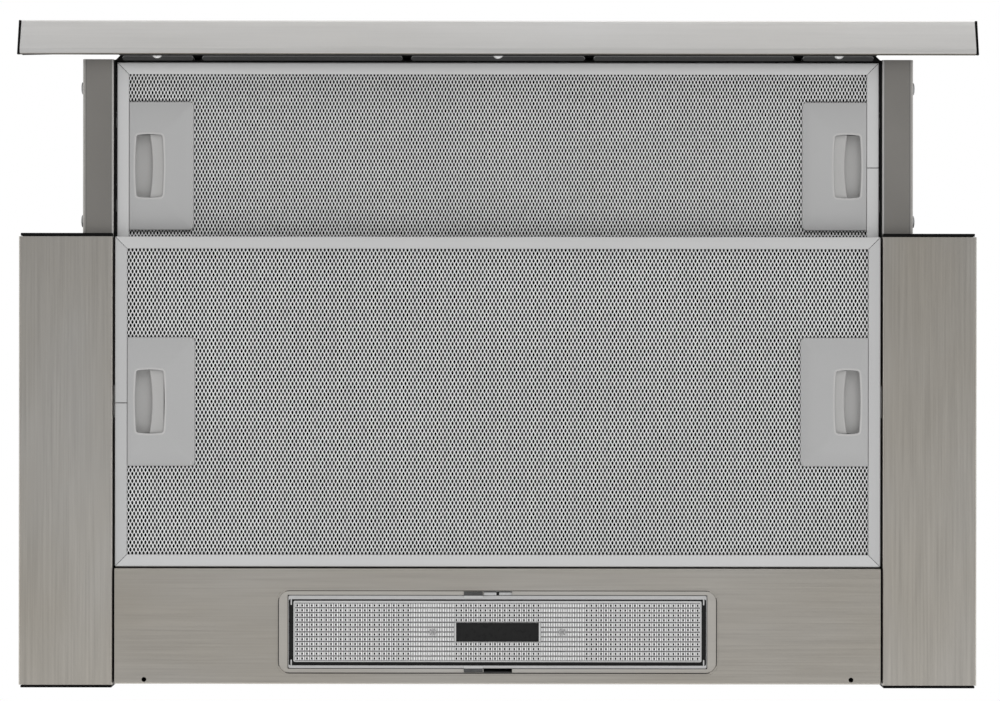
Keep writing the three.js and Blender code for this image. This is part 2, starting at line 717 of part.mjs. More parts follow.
// Spiral outline in the y-z plane, from the tongue round to the upright outlet duct.
function scrollOutline(grow, top) {
  const points = [];
  const steps = 30;
  for (let i = 0; i <= steps; i++) {
    const share = i / steps;
    const angle = tongueAngle + share * (2 * Math.PI - tongueAngle);
    const radius = scrollInnerRadius + (scrollOuterRadius - scrollInnerRadius) * share + grow;
    points.push([scrollY + radius * Math.cos(angle), scrollAxisHeight + radius * Math.sin(angle)]);
  }
  points.push([scrollY + scrollOuterRadius + grow, top]);
  points.push([ductFront - grow, top]);
  return points;
}

const motorFace = -(scrollWidth / 2 + seat);

// Snail housing, open on its right side and at its outlet.
function scrollHousing() {
  const half = scrollWidth / 2;
  return prism("x", scrollOutline(scrollWall, scrollTop), -half, half)
    .subtract(prism("x", scrollOutline(0, scrollTop + 1), -half + scrollWall, half + 1))
    .subtract(bar("x", shaftRadius + 3, -half - 1, 0, [0, scrollY, scrollAxisHeight]));
}

// Side plate with the bell mouth that the air enters through.
function inletPlate() {
  const half = scrollWidth / 2 + seat;
  const lip = [[inletRadius, half - 4], [inletRadius + 2, half - 4], [inletRadius + 2, half + 0.5],
    [inletRadius + 8, half + 0.5], [inletRadius + 8, half + scrollWall], [inletRadius + 4, half + scrollWall],
    [inletRadius, half - 1]];
  return prism("x", scrollOutline(scrollWall, scrollTop), half, half + scrollWall)
    .subtract(bar("x", inletRadius + 6, half - 1, half + 2 * scrollWall, [0, scrollY, scrollAxisHeight], 32))
    .add(turned("x", [...lip, lip[0]], [0, scrollY, scrollAxisHeight], 32));
}

// Squirrel-cage wheel: back disc, hub, blades and front ring.
function impeller() {
  const centre = [0, scrollY, scrollAxisHeight];
  const half = impellerLength / 2;
  const root = impellerRadius - bladeLength;
  const start = half - wheelDisc;
  const ring = [[root, start], [impellerRadius, start], [impellerRadius, half], [root, half], [root, start]];
  let wheel = bar("x", impellerRadius, -half, -start, centre, 48)
    .add(bar("x", hubRadius, -half, hubLength - half, centre))
    .add(turned("x", ring, centre, 48));
  for (let i = 0; i < bladeCount; i++) {
    const angle = (2 * Math.PI * i) / bladeCount;
    const geometry = new THREE.BoxGeometry(impellerLength - wheelDisc, bladeLength - 0.6, bladeThickness);
    geometry.rotateX(bladePitch);
    geometry.translate(0, root + bladeLength / 2, 0);
    geometry.rotateX(angle);
    wheel = wheel.add(toSolid(geometry.translate(...centre)));
  }
  return wheel.subtract(bar("x", shaftRadius + seat, -half - 1, hubLength - half + 1, centre));
}

// Motor can with its end bells and the shaft that the wheel sits on.
function motor() {
  const far = motorFace - motorLength;
  const shaftEnd = hubLength - impellerLength / 2 - 2;
  const profile = [[0, far], [0.5 * motorRadius, far], [0.55 * motorRadius, far + bearingBoss],
    [motorRadius, far + bellLength], [motorRadius, motorFace - bellLength], [0.9 * motorRadius, motorFace],
    [hubRadius - 4, motorFace], [shaftRadius, motorFace], [shaftRadius, shaftEnd], [0, shaftEnd]];
  return turned("x", profile, [0, scrollY, scrollAxisHeight], 32);
}

// ---- outlet ----
const collarFoot = casingHeight + seat;
const ledgeLevel = collarFoot + collarLedgeHeight;
const bore = collarDiameter / 2 - collarWall;
const spindleLevel = ledgeLevel + seat + spindleDiameter / 2;

// Flat ring on the casing's top plate that the collar stands on.
function outletRing() {
  const [inner, outer] = [bore - collarLedge, collarDiameter / 2 + collarFlange];
  const top = collarFoot + collarBase;
  const profile = [[inner, collarFoot], [outer, collarFoot], [outer, top], [inner, top], [inner, collarFoot]];
  return turned("z", profile, [0, collarY, 0], 48);
}

// Collar for the duct, with an inner ledge that the flaps shut on.
function outletCollar() {
  const outer = collarDiameter / 2;
  const [foot, top] = [collarFoot + collarBase + seat, collarFoot + collarHeight];
  const profile = [[bore - collarLedge, foot], [outer, foot], [outer, top], [bore, top],
    [bore, ledgeLevel], [bore - collarLedge, ledgeLevel], [bore - collarLedge, foot]];
  return turned("z", profile, [0, collarY, 0], 48);
}

function flapSpindle() {
  return bar("x", spindleDiameter / 2, -bore + seat, bore - seat, [0, collarY, spindleLevel], 12);
}

// Half-round flap with two knuckles on the spindle; front is -1 and rear is +1.
function flap(direction, knuckles) {
  const edge = spindleDiameter / 2 + 1.3;
  const radius = bore - flapClearance;
  const start = Math.asin(edge / radius);
  const outline = [];
  for (let i = 0; i <= 20; i++) {
    const angle = start + ((Math.PI - 2 * start) * i) / 20;
    outline.push([radius * Math.cos(angle), collarY + direction * radius * Math.sin(angle)]);
  }
  const top = ledgeLevel + seat + flapThickness;
  let leaf = prism("z", outline, ledgeLevel + seat, top);
  const centre = [0, collarY, spindleLevel];
  for (const x of knuckles) {
    leaf = leaf
      .add(bar("x", spindleDiameter / 2 + knuckleWall, x - knuckleHalf, x + knuckleHalf, centre, 12))
      .add(block([x - knuckleHalf, x + knuckleHalf], [collarY, collarY + direction * (edge + 1)],
        [ledgeLevel + seat, top]));
  }
  return leaf.subtract(bar("x", spindleDiameter / 2 + flapBore, -radius, radius, centre, 12));
}

// ---- electrical pieces ----
const terminalRear = casingRear - sheet - terminalRoom;
const terminalY = [terminalRear - terminalBox[1], terminalRear];
const terminalTop = casingHeight - sheet - seat;
const terminalX = casingInner - terminalInset;

function terminalBoxShell() {
  const [wide, , high] = terminalBox;
  const x = [terminalX - wide / 2, terminalX + wide / 2];
  return block(x, terminalY, [terminalTop - high, terminalTop])
    .subtract(bar("z", glandRadius + glandFlange + 1, terminalTop - terminalNeck, terminalTop + 1,
      [terminalX, glandY, 0]));
}

const glandY = (terminalY[0] + terminalY[1]) / 2;

// Cable inlet: a grooved bush in the top plate, with a bore for the cable.
function cableGland() {
  const foot = casingHeight + seat;
  const under = casingHeight - sheet - seat;
  const neck = glandRadius - seat;
  const [cable, rim, nut] = [cableRadius, glandRadius + glandFlange, under - 4];
  const profile = [[cable, nut], [rim, nut], [rim, under], [neck, under], [neck, foot], [rim, foot],
    [rim, foot + glandFlange], [glandRadius - 1, foot + glandHeight], [cable, foot + glandHeight],
    [cable, nut]];
  return turned("z", profile, [terminalX, glandY, 0]);
}

function capacitor() {
  const y = casingRear - sheet - seat - capacitorRadius;
  const r = capacitorRadius;
  const middle = capacitorInset - casingInner;
  const [a, b] = [middle - capacitorLength / 2, middle + capacitorLength / 2];
  return turned("x", [[0, a], [r - 1.5, a], [r, a + 1.5], [r, b - 1.5], [r - 1.5, b], [0, b]],
    [0, y, casingHeight - capacitorDrop], 24);
}

// Switch body behind a front cap; its plate stands in the cap's window, with a slot for the knob.
function switchBody(control) {
  const { side, centre, plate, travel } = control;
  const half = Math.min(plate / 2 + 1.5, bodyHalf - sheet - seat - centre, centre - casingHalf - seat);
  const high = switchBodyHeight / 2;
  const face = capFront - plateProud;
  const slot = (travel + knobWidth) / 2 + slide;
  return block(onSide(side, centre - half, centre + half), [coverFront, coverFront + switchDepth],
    [switchHeight - high, switchHeight + high])
    .add(switchOpening(control, [face, coverFront + 1], 0))
    .subtract(block(onSide(side, centre - slot, centre + slot), [face - 1, face + knobSlot],
      [switchHeight - knobHeight / 2 - slide, switchHeight + knobHeight / 2 + slide]));
}

function switchKnob(control) {
  const { side, centre, travel } = control;
  const start = side * centre - travel / 2;
  const [left, right] = [start - knobWidth / 2, start + knobWidth / 2];
  const face = capFront - plateProud;
  const root = face + knobSlot - slide;
  const outline = [[left, root], [right, root], [right, face], [start, face + knobDish], [left, face]];
  return prism("z", outline, switchHeight - knobHeight / 2, switchHeight + knobHeight / 2);
}

// Switch that the right rail presses when the drawer is shut, behind the rail's end.
const plungerTip = railShut + plungerGap;
const microX = (railInner + railOuter) / 2;
const microZ = railBottom + railHeight / 2;

function microSwitchBody() {
  const [wide, high] = microSwitch;
  const face = plungerTip + plungerTravel + 1.3;
  const hole = plungerSize / 2 + slide;
  return block([microX - wide / 2, microX + wide / 2], [face, casingRear - sheet - seat],
    [microZ - high / 2, microZ + high / 2])
    .subtract(block([microX - hole, microX + hole], [plungerTip, plungerTip + plungerLength + 2],
      [microZ - hole, microZ + hole]));
}

function microSwitchPlunger() {
  const half = plungerSize / 2;
  return block([microX - half, microX + half], [plungerTip, plungerTip + plungerLength],
    [microZ - half, microZ + half]);
}

// ---- assembly ----
const sides = [[-1, "left", lightSwitch], [1, "right", speedSwitch]];

add("casing", casing(), blackSteel);
for (const [side, word, control] of sides) {
  add(`side_cover_${word}`, sideCover(side), greySteel);
  add(`front_cap_${word}`, frontCap(side, control), blackPlastic);
  add(`rear_cap_${word}`, rearCap(side), blackPlastic);
  add(`rail_guide_${word}`, railGuide(side), zinc);
  add(`drawer_rail_${word}`, drawerRail(side), greySteel);
  add(`lamp_holder_${word}`, lampHolder(side), whitePlastic);
  add(`bulb_${word}`, bulb(side), bulbGlass);
  add(`fascia_cap_${word}`, fasciaCap(side), blackPlastic);
}
add("lamp_panel", lampPanel(), greySteel);
add("lamp_tray", lampTray(), whitePlastic);
add("lamp_lens", lampLens(), clearPlastic);
addFilter(rearFilter);
addFilter(frontFilter);
add("drawer_frame", drawerFrame(), blackPlastic);
add("drawer_top_cover", drawerTop(), blackSteel);
add("fascia", fascia(), steel);
add("fascia_screw_left", fasciaScrew(-screwOffset), screwSteel);
add("fascia_screw_centre", fasciaScrew(0), screwSteel);
add("fascia_screw_right", fasciaScrew(screwOffset), screwSteel);
add("blower_scroll", scrollHousing(), greyPlastic);
add("blower_inlet_plate", inletPlate(), greyPlastic);
add("impeller", impeller(), blackPlastic);
add("motor", motor(), zinc);
add("outlet_ring", outletRing(), blackPlastic);
add("outlet_collar", outletCollar(), blackPlastic);
add("flap_spindle", flapSpindle(), screwSteel);
add("flap_front", flap(-1, across(frontKnuckle)), blackPlastic);
add("flap_rear", flap(1, across(rearKnuckle)), blackPlastic);
add("terminal_box", terminalBoxShell(), whitePlastic);
add("cable_gland", cableGland(), blackPlastic);
add("capacitor", capacitor(), whitePlastic);
add("light_switch_body", switchBody(lightSwitch), greyPlastic);
add("light_switch_knob", switchKnob(lightSwitch), blackPlastic);
add("speed_switch_body", switchBody(speedSwitch), greyPlastic);
add("speed_switch_knob", switchKnob(speedSwitch), blackPlastic);
add("drawer_switch", microSwitchBody(), blackPlastic);
add("drawer_switch_plunger", microSwitchPlunger(), whitePlastic);

hood.position.set(0, -fasciaFront / 2, fasciaDrop);

export default hood;
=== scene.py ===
# A telescopic range hood seen from straight below, its filter drawer pulled out.
# Millimetres in this script; a piece is scaled to metres when its mesh is made. Each group of pieces
# has its sizes in a dictionary, and s is the one in use.
import json
import math
import bmesh
import bpy
import numpy as np
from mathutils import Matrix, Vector

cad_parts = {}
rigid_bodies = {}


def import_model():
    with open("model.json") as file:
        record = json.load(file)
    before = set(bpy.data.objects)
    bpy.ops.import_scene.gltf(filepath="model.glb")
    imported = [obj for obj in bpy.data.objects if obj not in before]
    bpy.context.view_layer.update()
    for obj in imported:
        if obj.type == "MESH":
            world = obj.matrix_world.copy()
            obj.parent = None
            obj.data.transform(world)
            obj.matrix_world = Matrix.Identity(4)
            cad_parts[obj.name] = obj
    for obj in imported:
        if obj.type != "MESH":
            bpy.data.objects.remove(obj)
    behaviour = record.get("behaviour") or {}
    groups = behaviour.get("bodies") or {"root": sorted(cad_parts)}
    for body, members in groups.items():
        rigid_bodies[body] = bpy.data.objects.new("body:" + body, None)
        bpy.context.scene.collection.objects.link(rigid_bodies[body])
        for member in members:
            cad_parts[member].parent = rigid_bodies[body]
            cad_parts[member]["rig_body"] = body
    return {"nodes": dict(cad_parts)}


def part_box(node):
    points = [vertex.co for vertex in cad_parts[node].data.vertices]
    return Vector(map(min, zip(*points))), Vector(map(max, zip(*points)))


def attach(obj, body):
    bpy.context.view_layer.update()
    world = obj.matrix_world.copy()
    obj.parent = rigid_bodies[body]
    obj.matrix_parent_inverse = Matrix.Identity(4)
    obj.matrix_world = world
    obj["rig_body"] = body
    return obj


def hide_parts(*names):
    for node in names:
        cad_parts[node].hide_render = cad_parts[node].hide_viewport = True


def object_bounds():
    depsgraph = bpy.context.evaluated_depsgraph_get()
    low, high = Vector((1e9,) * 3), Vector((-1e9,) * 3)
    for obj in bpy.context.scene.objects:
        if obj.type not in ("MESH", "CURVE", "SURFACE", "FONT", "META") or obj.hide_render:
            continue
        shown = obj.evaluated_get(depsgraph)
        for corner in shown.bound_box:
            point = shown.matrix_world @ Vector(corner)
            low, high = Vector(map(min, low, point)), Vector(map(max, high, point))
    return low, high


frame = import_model()
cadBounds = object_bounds()
mm = 0.001
hair = 0.01  # millimetres within which two heights are the same
edgeAngle = 35  # degrees; edges sharper than this are softened
left, right = -1, 1
bothSides = ((left, "left"), (right, "right"))


def box(name):
    # lowest and highest corner of a node, in millimetres
    low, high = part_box(name)
    return np.array(low) / mm, np.array(high) / mm


def linked(name, data):
    # a new object in the scene
    made = bpy.data.objects.new(name, data)
    bpy.context.scene.collection.objects.link(made)
    return made


# camera
camera = {
    "distance": 2100,  # below the side covers' underside
    "aside": 1.4,  # camera to the right of the hood's middle
    "forward": 2.0,  # and towards its front
    "pixel": 0.622,  # size of a pixel at the side covers' underside
    "turn": -0.06,  # degrees
    "imageWidth": 1000, "sensorWidth": 36, "clipEnd": 50,
}
cameraData = bpy.data.cameras.new("camera")
cameraObject = linked("camera", cameraData)
cameraData.sensor_width = camera["sensorWidth"]
cameraData.lens = camera["sensorWidth"] * camera["distance"] / (camera["pixel"] * camera["imageWidth"])
cameraData.clip_end = camera["clipEnd"]
cameraObject.location = Vector(
    (camera["aside"], -camera["forward"], box("side_cover_left")[0][2] - camera["distance"])) * mm
cameraObject.rotation_euler = (math.pi, 0, math.radians(camera["turn"]))
bpy.context.scene.camera = cameraObject
print("camera: lens", round(cameraData.lens, 1), "mm")


# node trees
def treeOf(owner):
    # the emptied node tree of a new material or world
    owner.use_nodes = True
    owner.node_tree.nodes.clear()
    return owner.node_tree


def node(tree, kind, values=None, **settings):
    # values fill the inputs: an output is linked, anything else is a constant
    made = tree.nodes.new(kind)
    for key, value in settings.items():
        setattr(made, key, value)
    for key, value in (values or {}).items():
        if isinstance(value, bpy.types.NodeSocket):
            tree.links.new(value, made.inputs[key])
        else:
            made.inputs[key].default_value = value
    return made


def objectPattern(tree, scale=(1, 1, 1)):
    # the piece's own coordinates, stretched
    place = node(tree, "ShaderNodeTexCoord").outputs["Object"]
    return node(tree, "ShaderNodeMapping", {"Vector": place, "Scale": scale}).outputs["Vector"]


def noise(tree, vector, scale, detail, rough):
    return node(tree, "ShaderNodeTexNoise", {
        "Vector": vector, "Scale": scale, "Detail": detail, "Roughness": rough}).outputs["Fac"]


def between(tree, value, low, high, fromLow=0.3, fromHigh=0.7):
    return node(tree, "ShaderNodeMapRange", {
        "Value": value, "From Min": fromLow, "From Max": fromHigh, "To Min": low, "To Max": high,
    }).outputs["Result"]


def mixColours(tree, factor, first, second, blend="MIX"):
    # inputs 6 and 7 are the node's two colours
    return node(tree, "ShaderNodeMix", {0: factor, 6: first, 7: second},
                data_type="RGBA", blend_type=blend).outputs[2]


def bump(tree, height, distance, strength):
    return node(tree, "ShaderNodeBump", {
        "Height": height, "Distance": distance * mm, "Strength": strength}).outputs["Normal"]


def grey(level, warm=0.0):
    # a linear grey, a little redder and less blue where warm
    return (level * (1 + warm), level, level * (1 - 1.6 * warm), 1)


def newFinish(name, build):
    # fasciaSteel becomes the material fascia_steel; build gives the shader's values
    material = bpy.data.materials.new("".join("_" + c.lower() if c.isupper() else c for c in name))
    tree = treeOf(material)
    shader = node(tree, "ShaderNodeBsdfPrincipled", build(tree))
    node(tree, "ShaderNodeOutputMaterial", {"Surface": shader.outputs[0]})
    return material


# brushed steel
# Long thin streaks lie along the brushing, over slow cloudy patches of the rolled sheet.
brush = {  # noise per metre across and along the brushing, detail and roughness of the noise
    "streaks": (900.0, 12.0, 3.0, 0.6), "clouds": (9.0, 4.0, 3.0, 0.55),
    "warmDark": 1.5, "warmPale": 0.7,  # of the clouds
    "smoother": 0.05, "rougher": 0.07, "relief": 0.012, "reliefStrength": 0.5,
}
# brushing's axis, level, warmth, roughness, contrast of the streaks and of the clouds, and the level's
# factor at the hood's front and rear, a painted shade that darkens the sheet towards the front
brushedFinishes = {
    "fasciaSteel": (0, 0.62, 0.012, 0.34, 0.022, 0.03),
    "fasciaEdge": (0, 0.30, 0.05, 0.40, 0.03, 0.06),
    "fasciaLine": (0, 0.09, 0.08, 0.45, 0.03, 0.06),
    "coverSteel": (1, 0.385, 0.05, 0.42, 0.06, 0.08, (0.72, 1.06)),
    "panelSteel": (0, 0.37, 0.052, 0.42, 0.05, 0.08),
    "panelLedge": (0, 0.45, 0.04, 0.42, 0.03, 0.05),
    "panelStep": (0, 0.10, 0.04, 0.45, 0.05, 0.05),
}


def brushed(tree, along, level, warm, rough, streak, cloud, fade=None):
    def pattern(across, lengthwise, detail, roughness):
        scale = [across] * 3
        scale[along] = lengthwise
        return noise(tree, objectPattern(tree, scale), 1.0, detail, roughness)

    streaks, clouds = pattern(*brush["streaks"]), pattern(*brush["clouds"])
    dark = grey(level * (1 - cloud), warm * brush["warmDark"])
    pale = grey(level * (1 + cloud), warm * brush["warmPale"])
    light = mixColours(tree, between(tree, clouds, 0, 1), dark, pale)
    # painted light: the level is multiplied by a factor that rises from the hood's front to its rear
    if fade:
        place = node(tree, "ShaderNodeSeparateXYZ", {"Vector": objectPattern(tree)}).outputs["Y"]
        light = mixColours(tree, 1.0, light, between(tree, place, *fade, cadBounds[0][1], cadBounds[1][1]),
                           "MULTIPLY")
    lined = between(tree, streaks, 1 - streak, 1 + streak)
    return {
        "Base Color": mixColours(tree, 1.0, light, lined, "MULTIPLY"), "Metallic": 1.0,
        "Roughness": between(tree, streaks, rough - brush["smoother"], rough + brush["rougher"]),
        "Normal": bump(tree, streaks, brush["relief"], brush["reliefStrength"]),
    }


# painted, cast and moulded finishes
# Fine grain over a slow change of tone.
grain = {"detail": 3.0, "roughness": 0.6, "slow": (14.0, 2.0, 0.5), "rougher": 0.05, "reliefStrength": 0.6}
matt = {"Specular IOR Level": 0.06}  # for black mouldings that mirror nothing
lensRelief = 0.002
# level, warmth, roughness, metal, grain's size, contrast, relief and other values of the shader
grainedFinishes = {
    "railSteel": (0.215, 0.04, 0.45, 0.9, 0.45, 0.16),
    "railOuter": (0.29, 0.03, 0.45, 0.9, 0.35, 0.06),
    "railInner": (0.42, 0.02, 0.45, 0.9, 0.35, 0.06),
    "railLine": (0.10, 0.0, 0.5, 0.5, 0.35, 0.06),
    "rivetSteel": (0.36, 0.0, 0.6, 0.3, 0.5, 0.05),
    "screwSteel": (0.8, 0.0, 0.3, 0.8, 0.5, 0.05),
    "casingPaint": (0.022, 0.0, 0.5, 0.2, 0.6, 0.2, 0.03),
    "zincSheet": (0.42, 0.0, 0.42, 0.95, 6.0, 0.16),
    # lit and shaded copies of the filter frames' aluminium: the front frame painted lighter than the rear,
    # each frame's side bars painted darker than its end bars
    "frontSide": (0.58, 0.0, 0.42, 0.4, 0.3, 0.03),
    "frontFrame": (0.675, 0.0, 0.42, 0.4, 0.3, 0.03),
    "rearSide": (0.51, 0.0, 0.42, 0.4, 0.3, 0.03),
    "rearFrame": (0.565, 0.0, 0.42, 0.4, 0.3, 0.03),
    "meshAluminium": (0.78, 0.0, 0.42, 0.35, 2.0, 0.05),
    "platePlastic": (0.40, 0.0, 0.5, 0.0, 0.4, 0.025),
    "rimPlastic": (0.47, 0.008, 0.4, 0.0, 0.4, 0.02),
    "sliderPlastic": (0.415, 0.01, 0.5, 0.0, 0.4, 0.025),
    "whitePlastic": (0.72, 0.01, 0.42, 0.0, 0.8, 0.03),
    # lighter copies of the black moulding for the front bar's panels: a painted highlight on their rims and
    # a painted sheen on their faces
    "edgePlastic": (0.20, 0.0, 0.4, 0.0, 0.5, 0.2, 0.02),
    "barPlastic": (0.075, 0.0, 0.5, 0.0, 0.5, 0.2, 0.02, matt),
    "blackPlastic": (0.004, 0.0, 0.5, 0.0, 0.5, 0.25, 0.02, matt),
    "ductPlastic": (0.016, 0.0, 0.45, 0.0, 0.6, 0.2, 0.03),
    "greyHousing": (0.18, 0.0, 0.5, 0.0, 0.7, 0.1, 0.03),
    "lensPlastic": (0.60, 0.0, 0.14, 0.0, 1.2, 0.04, lensRelief, {"Alpha": 0.86}),
    "lensBright": (0.86, 0.0, 0.14, 0.0, 1.2, 0.04, lensRelief),
    "lensPale": (0.40, 0.0, 0.2, 0.0, 1.2, 0.1, lensRelief),
    "lensMark": (0.26, 0.0, 0.2, 0.0, 0.6, 0.5, lensRelief),
    "lensRim": (0.49, 0.0, 0.1, 0.0, 3.0, 0.03, lensRelief),
    "lensTab": (0.05, 0.0, 0.15, 0.0, 2.0, 0.3, lensRelief),
    "lensDark": (0.018, 0.0, 0.3, 0.0, 3.0, 0.1, lensRelief, matt),
}


def grained(tree, level, warm, rough, metal, size, contrast, relief=0.01, more=None):
    place = objectPattern(tree)
    grains = noise(tree, place, 1 / (size * mm), grain["detail"], grain["roughness"])
    slow = noise(tree, place, *grain["slow"])
    tone = mixColours(tree, between(tree, slow, 0, 1),
                      grey(level * (1 - contrast / 2), warm), grey(level * (1 + contrast / 2), warm))
    speck = between(tree, grains, 1 - contrast, 1 + contrast)
    return {
        "Base Color": mixColours(tree, 1.0, tone, speck, "MULTIPLY"), "Metallic": metal,
        "Roughness": between(tree, grains, rough - grain["rougher"], rough + grain["rougher"]),
        "Normal": bump(tree, grains, relief, grain["reliefStrength"]),
    } | (more or {})


# inner filter layers
# Seen through the mesh: painted nearly black for the shade inside the filter, with paler painted spots for
# strands further in that catch some light.
shadedLayers = {"dark": 0.003, "pale": 0.06, "grain": 1.7, "share": (0.56, 0.74), "relief": 0.4}


def paintShadedLayers(tree):
    spots = noise(tree, objectPattern(tree), 1 / (shadedLayers["grain"] * mm), 2.0, 0.5)
    return {
        "Base Color": mixColours(tree, between(tree, spots, 0, 1, *shadedLayers["share"]),
                                 grey(shadedLayers["dark"]), grey(shadedLayers["pale"])),
        "Metallic": 0.2, "Roughness": 0.6, "Specular IOR Level": 0.1,
        "Normal": bump(tree, spots, shadedLayers["relief"], 0.6),
    }


finishes = {"coreAluminium": newFinish("coreAluminium", paintShadedLayers)}
for kind, table in ((brushed, brushedFinishes), (grained, grainedFinishes)):
    for name, values in table.items():
        finishes[name] = newFinish(name, lambda tree: kind(tree, *values))
print("finishes:", len(finishes))


# surfaces as whole arrays
def gridFaces(rows, columns, closeRows=False):
    # four-sided faces between a grid's points, numbered row by row; each row is a ring
    r = np.arange(rows if closeRows else rows - 1)[:, None]
    c = np.arange(columns)[None]
    nextRow, nextColumn = (r + 1) % rows, (c + 1) % columns
    faces = [r * columns + c, r * columns + nextColumn,
             nextRow * columns + nextColumn, nextRow * columns + c]
    return np.stack(faces, -1).reshape(-1, 4)


def distinct(path):
    # a path without the points that repeat the one before
    step = np.linalg.norm(np.diff(path, axis=0), axis=1)
    return path[np.concatenate([[True], step > 1e-4])]


def unit(vectors):
    # each vector over its length
    return vectors / np.maximum(np.linalg.norm(vectors, axis=1), 1e-9)[:, None]


def ellipse(angle, x, y):
    # (x cos t, y sin t)
    return np.stack([x * np.cos(angle), y * np.sin(angle)], -1)


def rounded(corners, radii, steps=5, straight=1):
    # each corner becomes an arc, centre + r (cos t, sin t), between the points where it meets its sides;
    # straight is the number of parts that each side is cut into
    p = np.asarray(corners, float)
    r = np.broadcast_to(np.asarray(radii, float), len(p))
    before, after = unit(np.roll(p, 1, 0) - p), unit(np.roll(p, -1, 0) - p)
    half = np.arccos(np.clip((before * after).sum(1), -1, 1)) / 2
    centre = p + unit(before + after) * (r / np.maximum(np.sin(half), 1e-9))[:, None]
    reach = (r / np.maximum(np.tan(half), 1e-9))[:, None]
    centre = np.where(r[:, None] > 0, centre, p)
    first, last = p + before * reach - centre, p + after * reach - centre
    start = np.arctan2(first[:, 1], first[:, 0])
    turn = (np.arctan2(last[:, 1], last[:, 0]) - start + np.pi) % (2 * np.pi) - np.pi
    angle = start[:, None] + turn[:, None] * np.linspace(0, 1, steps + 1)
    arcs = centre[:, None] + r[:, None, None] * ellipse(angle, 1, 1)
    share = (np.arange(1, straight) / straight)[None, :, None]
    parts = arcs[:, -1:] + share * (np.roll(arcs[:, :1], -1, 0) - arcs[:, -1:])
    return np.concatenate([arcs, parts], 1).reshape(-1, 2)


def offsetPath(path, distance):
    # an open path moved to its left along the mean of its two sides' normals, so that sides stay parallel
    way = unit(np.diff(path, axis=0))
    normal = np.stack([-way[:, 1], way[:, 0]], 1)
    before, after = np.vstack([normal[:1], normal]), np.vstack([normal, normal[-1:]])
    return path + distance * (before + after) / (1 + (before * after).sum(1))[:, None]


def folded(path, thickness, bend, steps=6):
    # outline of a folded sheet: the path is one face, the other lies to its left; bend is the inner radius,
    # one for all folds or one for each point
    centre = offsetPath(np.asarray(path, float), thickness / 2)
    inner = np.broadcast_to(np.asarray(bend, float), len(centre)) + thickness / 2
    way = np.diff(centre, axis=0)
    turn = way[:-1, 0] * way[1:, 1] - way[:-1, 1] * way[1:, 0]
    inner[1:-1][abs(turn) < 1e-6] = 0
    inner[[0, -1]] = 0
    centre = distinct(rounded(centre, inner, steps))
    return np.vstack([offsetPath(centre, -thickness / 2), offsetPath(centre, thickness / 2)[::-1]])


def lofted(loops, closeRows=False):
    # closed loops of as many points each, joined in their order, with a face over the first and the last
    loops = np.asarray(loops, float)
    rows, n = loops.shape[:2]
    faces = gridFaces(rows, n, closeRows).tolist()
    if not closeRows:
        faces += [list(range(n)), list(range((rows - 1) * n, rows * n))]
    return loops.reshape(-1, 3), faces


def extruded(outline, axis, start, end):
    # the outline's points (u, v) at both ends of an axis, u and v on the other two axes in their order
    loops = np.empty((2, len(outline), 3))
    loops[..., [k for k in range(3) if k != axis]] = outline
    loops[..., axis] = [[start], [end]]
    return lofted(loops)


def revolved(profile, axis, centre, steps=96, closed=False):
    # the profile's (radius, place along the axis) turned round it: r (cos t, sin t) on the other two axes
    profile = np.asarray(profile, float)
    t = np.linspace(0, 2 * np.pi, steps, endpoint=False)
    points = np.empty((len(profile), steps, 3))
    points[..., [k for k in range(3) if k != axis]] = profile[:, :1, None] * ellipse(t, 1, 1)
    points[..., axis] = profile[:, 1:]
    return (points + centre).reshape(-1, 3), gridFaces(len(profile), steps, closed).tolist()


def joined(*parts):
    # several (points, faces) as one
    starts = np.cumsum([0] + [len(points) for points, _ in parts])
    faces = [[i + start for i in face] for (_, part), start in zip(parts, starts) for face in part]
    return np.vstack([points for points, _ in parts]), faces


def atHeight(outline, z):
    # (x, y) becomes (x, y, z)
    outline = np.asarray(outline, float)
    return np.column_stack([outline, np.full(len(outline), float(z))])


def slab(outline, heights):
    # an outline (x, y) carried up from one height to the next
    return lofted([atHeight(outline, z) for z in heights])


def rectangle(x, y, radii=0.0, steps=5, straight=1):
    # outline between two values of x and two of y, its corners rounded from the low ones round
    (x0, x1), (y0, y1) = sorted(x), sorted(y)
    return rounded([(x0, y0), (x1, y0), (x1, y1), (x0, y1)], radii, steps, straight)


def block(x, y, z):
    # a box between two values of x, of y and of z
    return slab([(x[0], y[0]), (x[1], y[0]), (x[1], y[1]), (x[0], y[1])], z)


def dome(radius, rise, foot, steps, base=0.0):
    # profile of a button: a foot, an upright rim as high as base, and an ellipse's quarter up to rise
    crown = ellipse(np.linspace(0, np.pi / 2, steps), radius, rise - base) + [0, base]
    return np.vstack([[(0, foot), (radius, foot)], crown])


# meshes and pieces
def meshOf(name, part):
    # doubles merged and faces turned outward
    points, faces = part
    mesh = bpy.data.meshes.new(name)
    mesh.from_pydata((np.asarray(points) * mm).tolist(), [], faces)
    work = bmesh.new()
    work.from_mesh(mesh)
    bmesh.ops.remove_doubles(work, verts=work.verts, dist=2e-6)
    bmesh.ops.dissolve_degenerate(work, edges=work.edges, dist=1e-7)
    bmesh.ops.recalc_face_normals(work, faces=work.faces)
    work.to_mesh(mesh)
    work.free()
    return mesh


def partOf(mesh):
    # a mesh's points, in millimetres, and its faces
    points = np.empty(len(mesh.vertices) * 3)
    mesh.vertices.foreach_get("co", points)
    return points.reshape(-1, 3) / mm, [list(face.vertices) for face in mesh.polygons]


def cut(mesh, name, cutters):
    # the mesh without the closed cutters
    solid, tool = linked(name, mesh), linked(name + "_cutter", meshOf(name + "_cutter", joined(*cutters)))
    boolean = solid.modifiers.new("cut", "BOOLEAN")
    boolean.object = tool
    boolean.solver = "EXACT"
    boolean.use_self = True
    result = bpy.data.meshes.new_from_object(solid.evaluated_get(bpy.context.evaluated_depsgraph_get()))
    for made in (solid, tool):
        bpy.data.objects.remove(made)
    return result


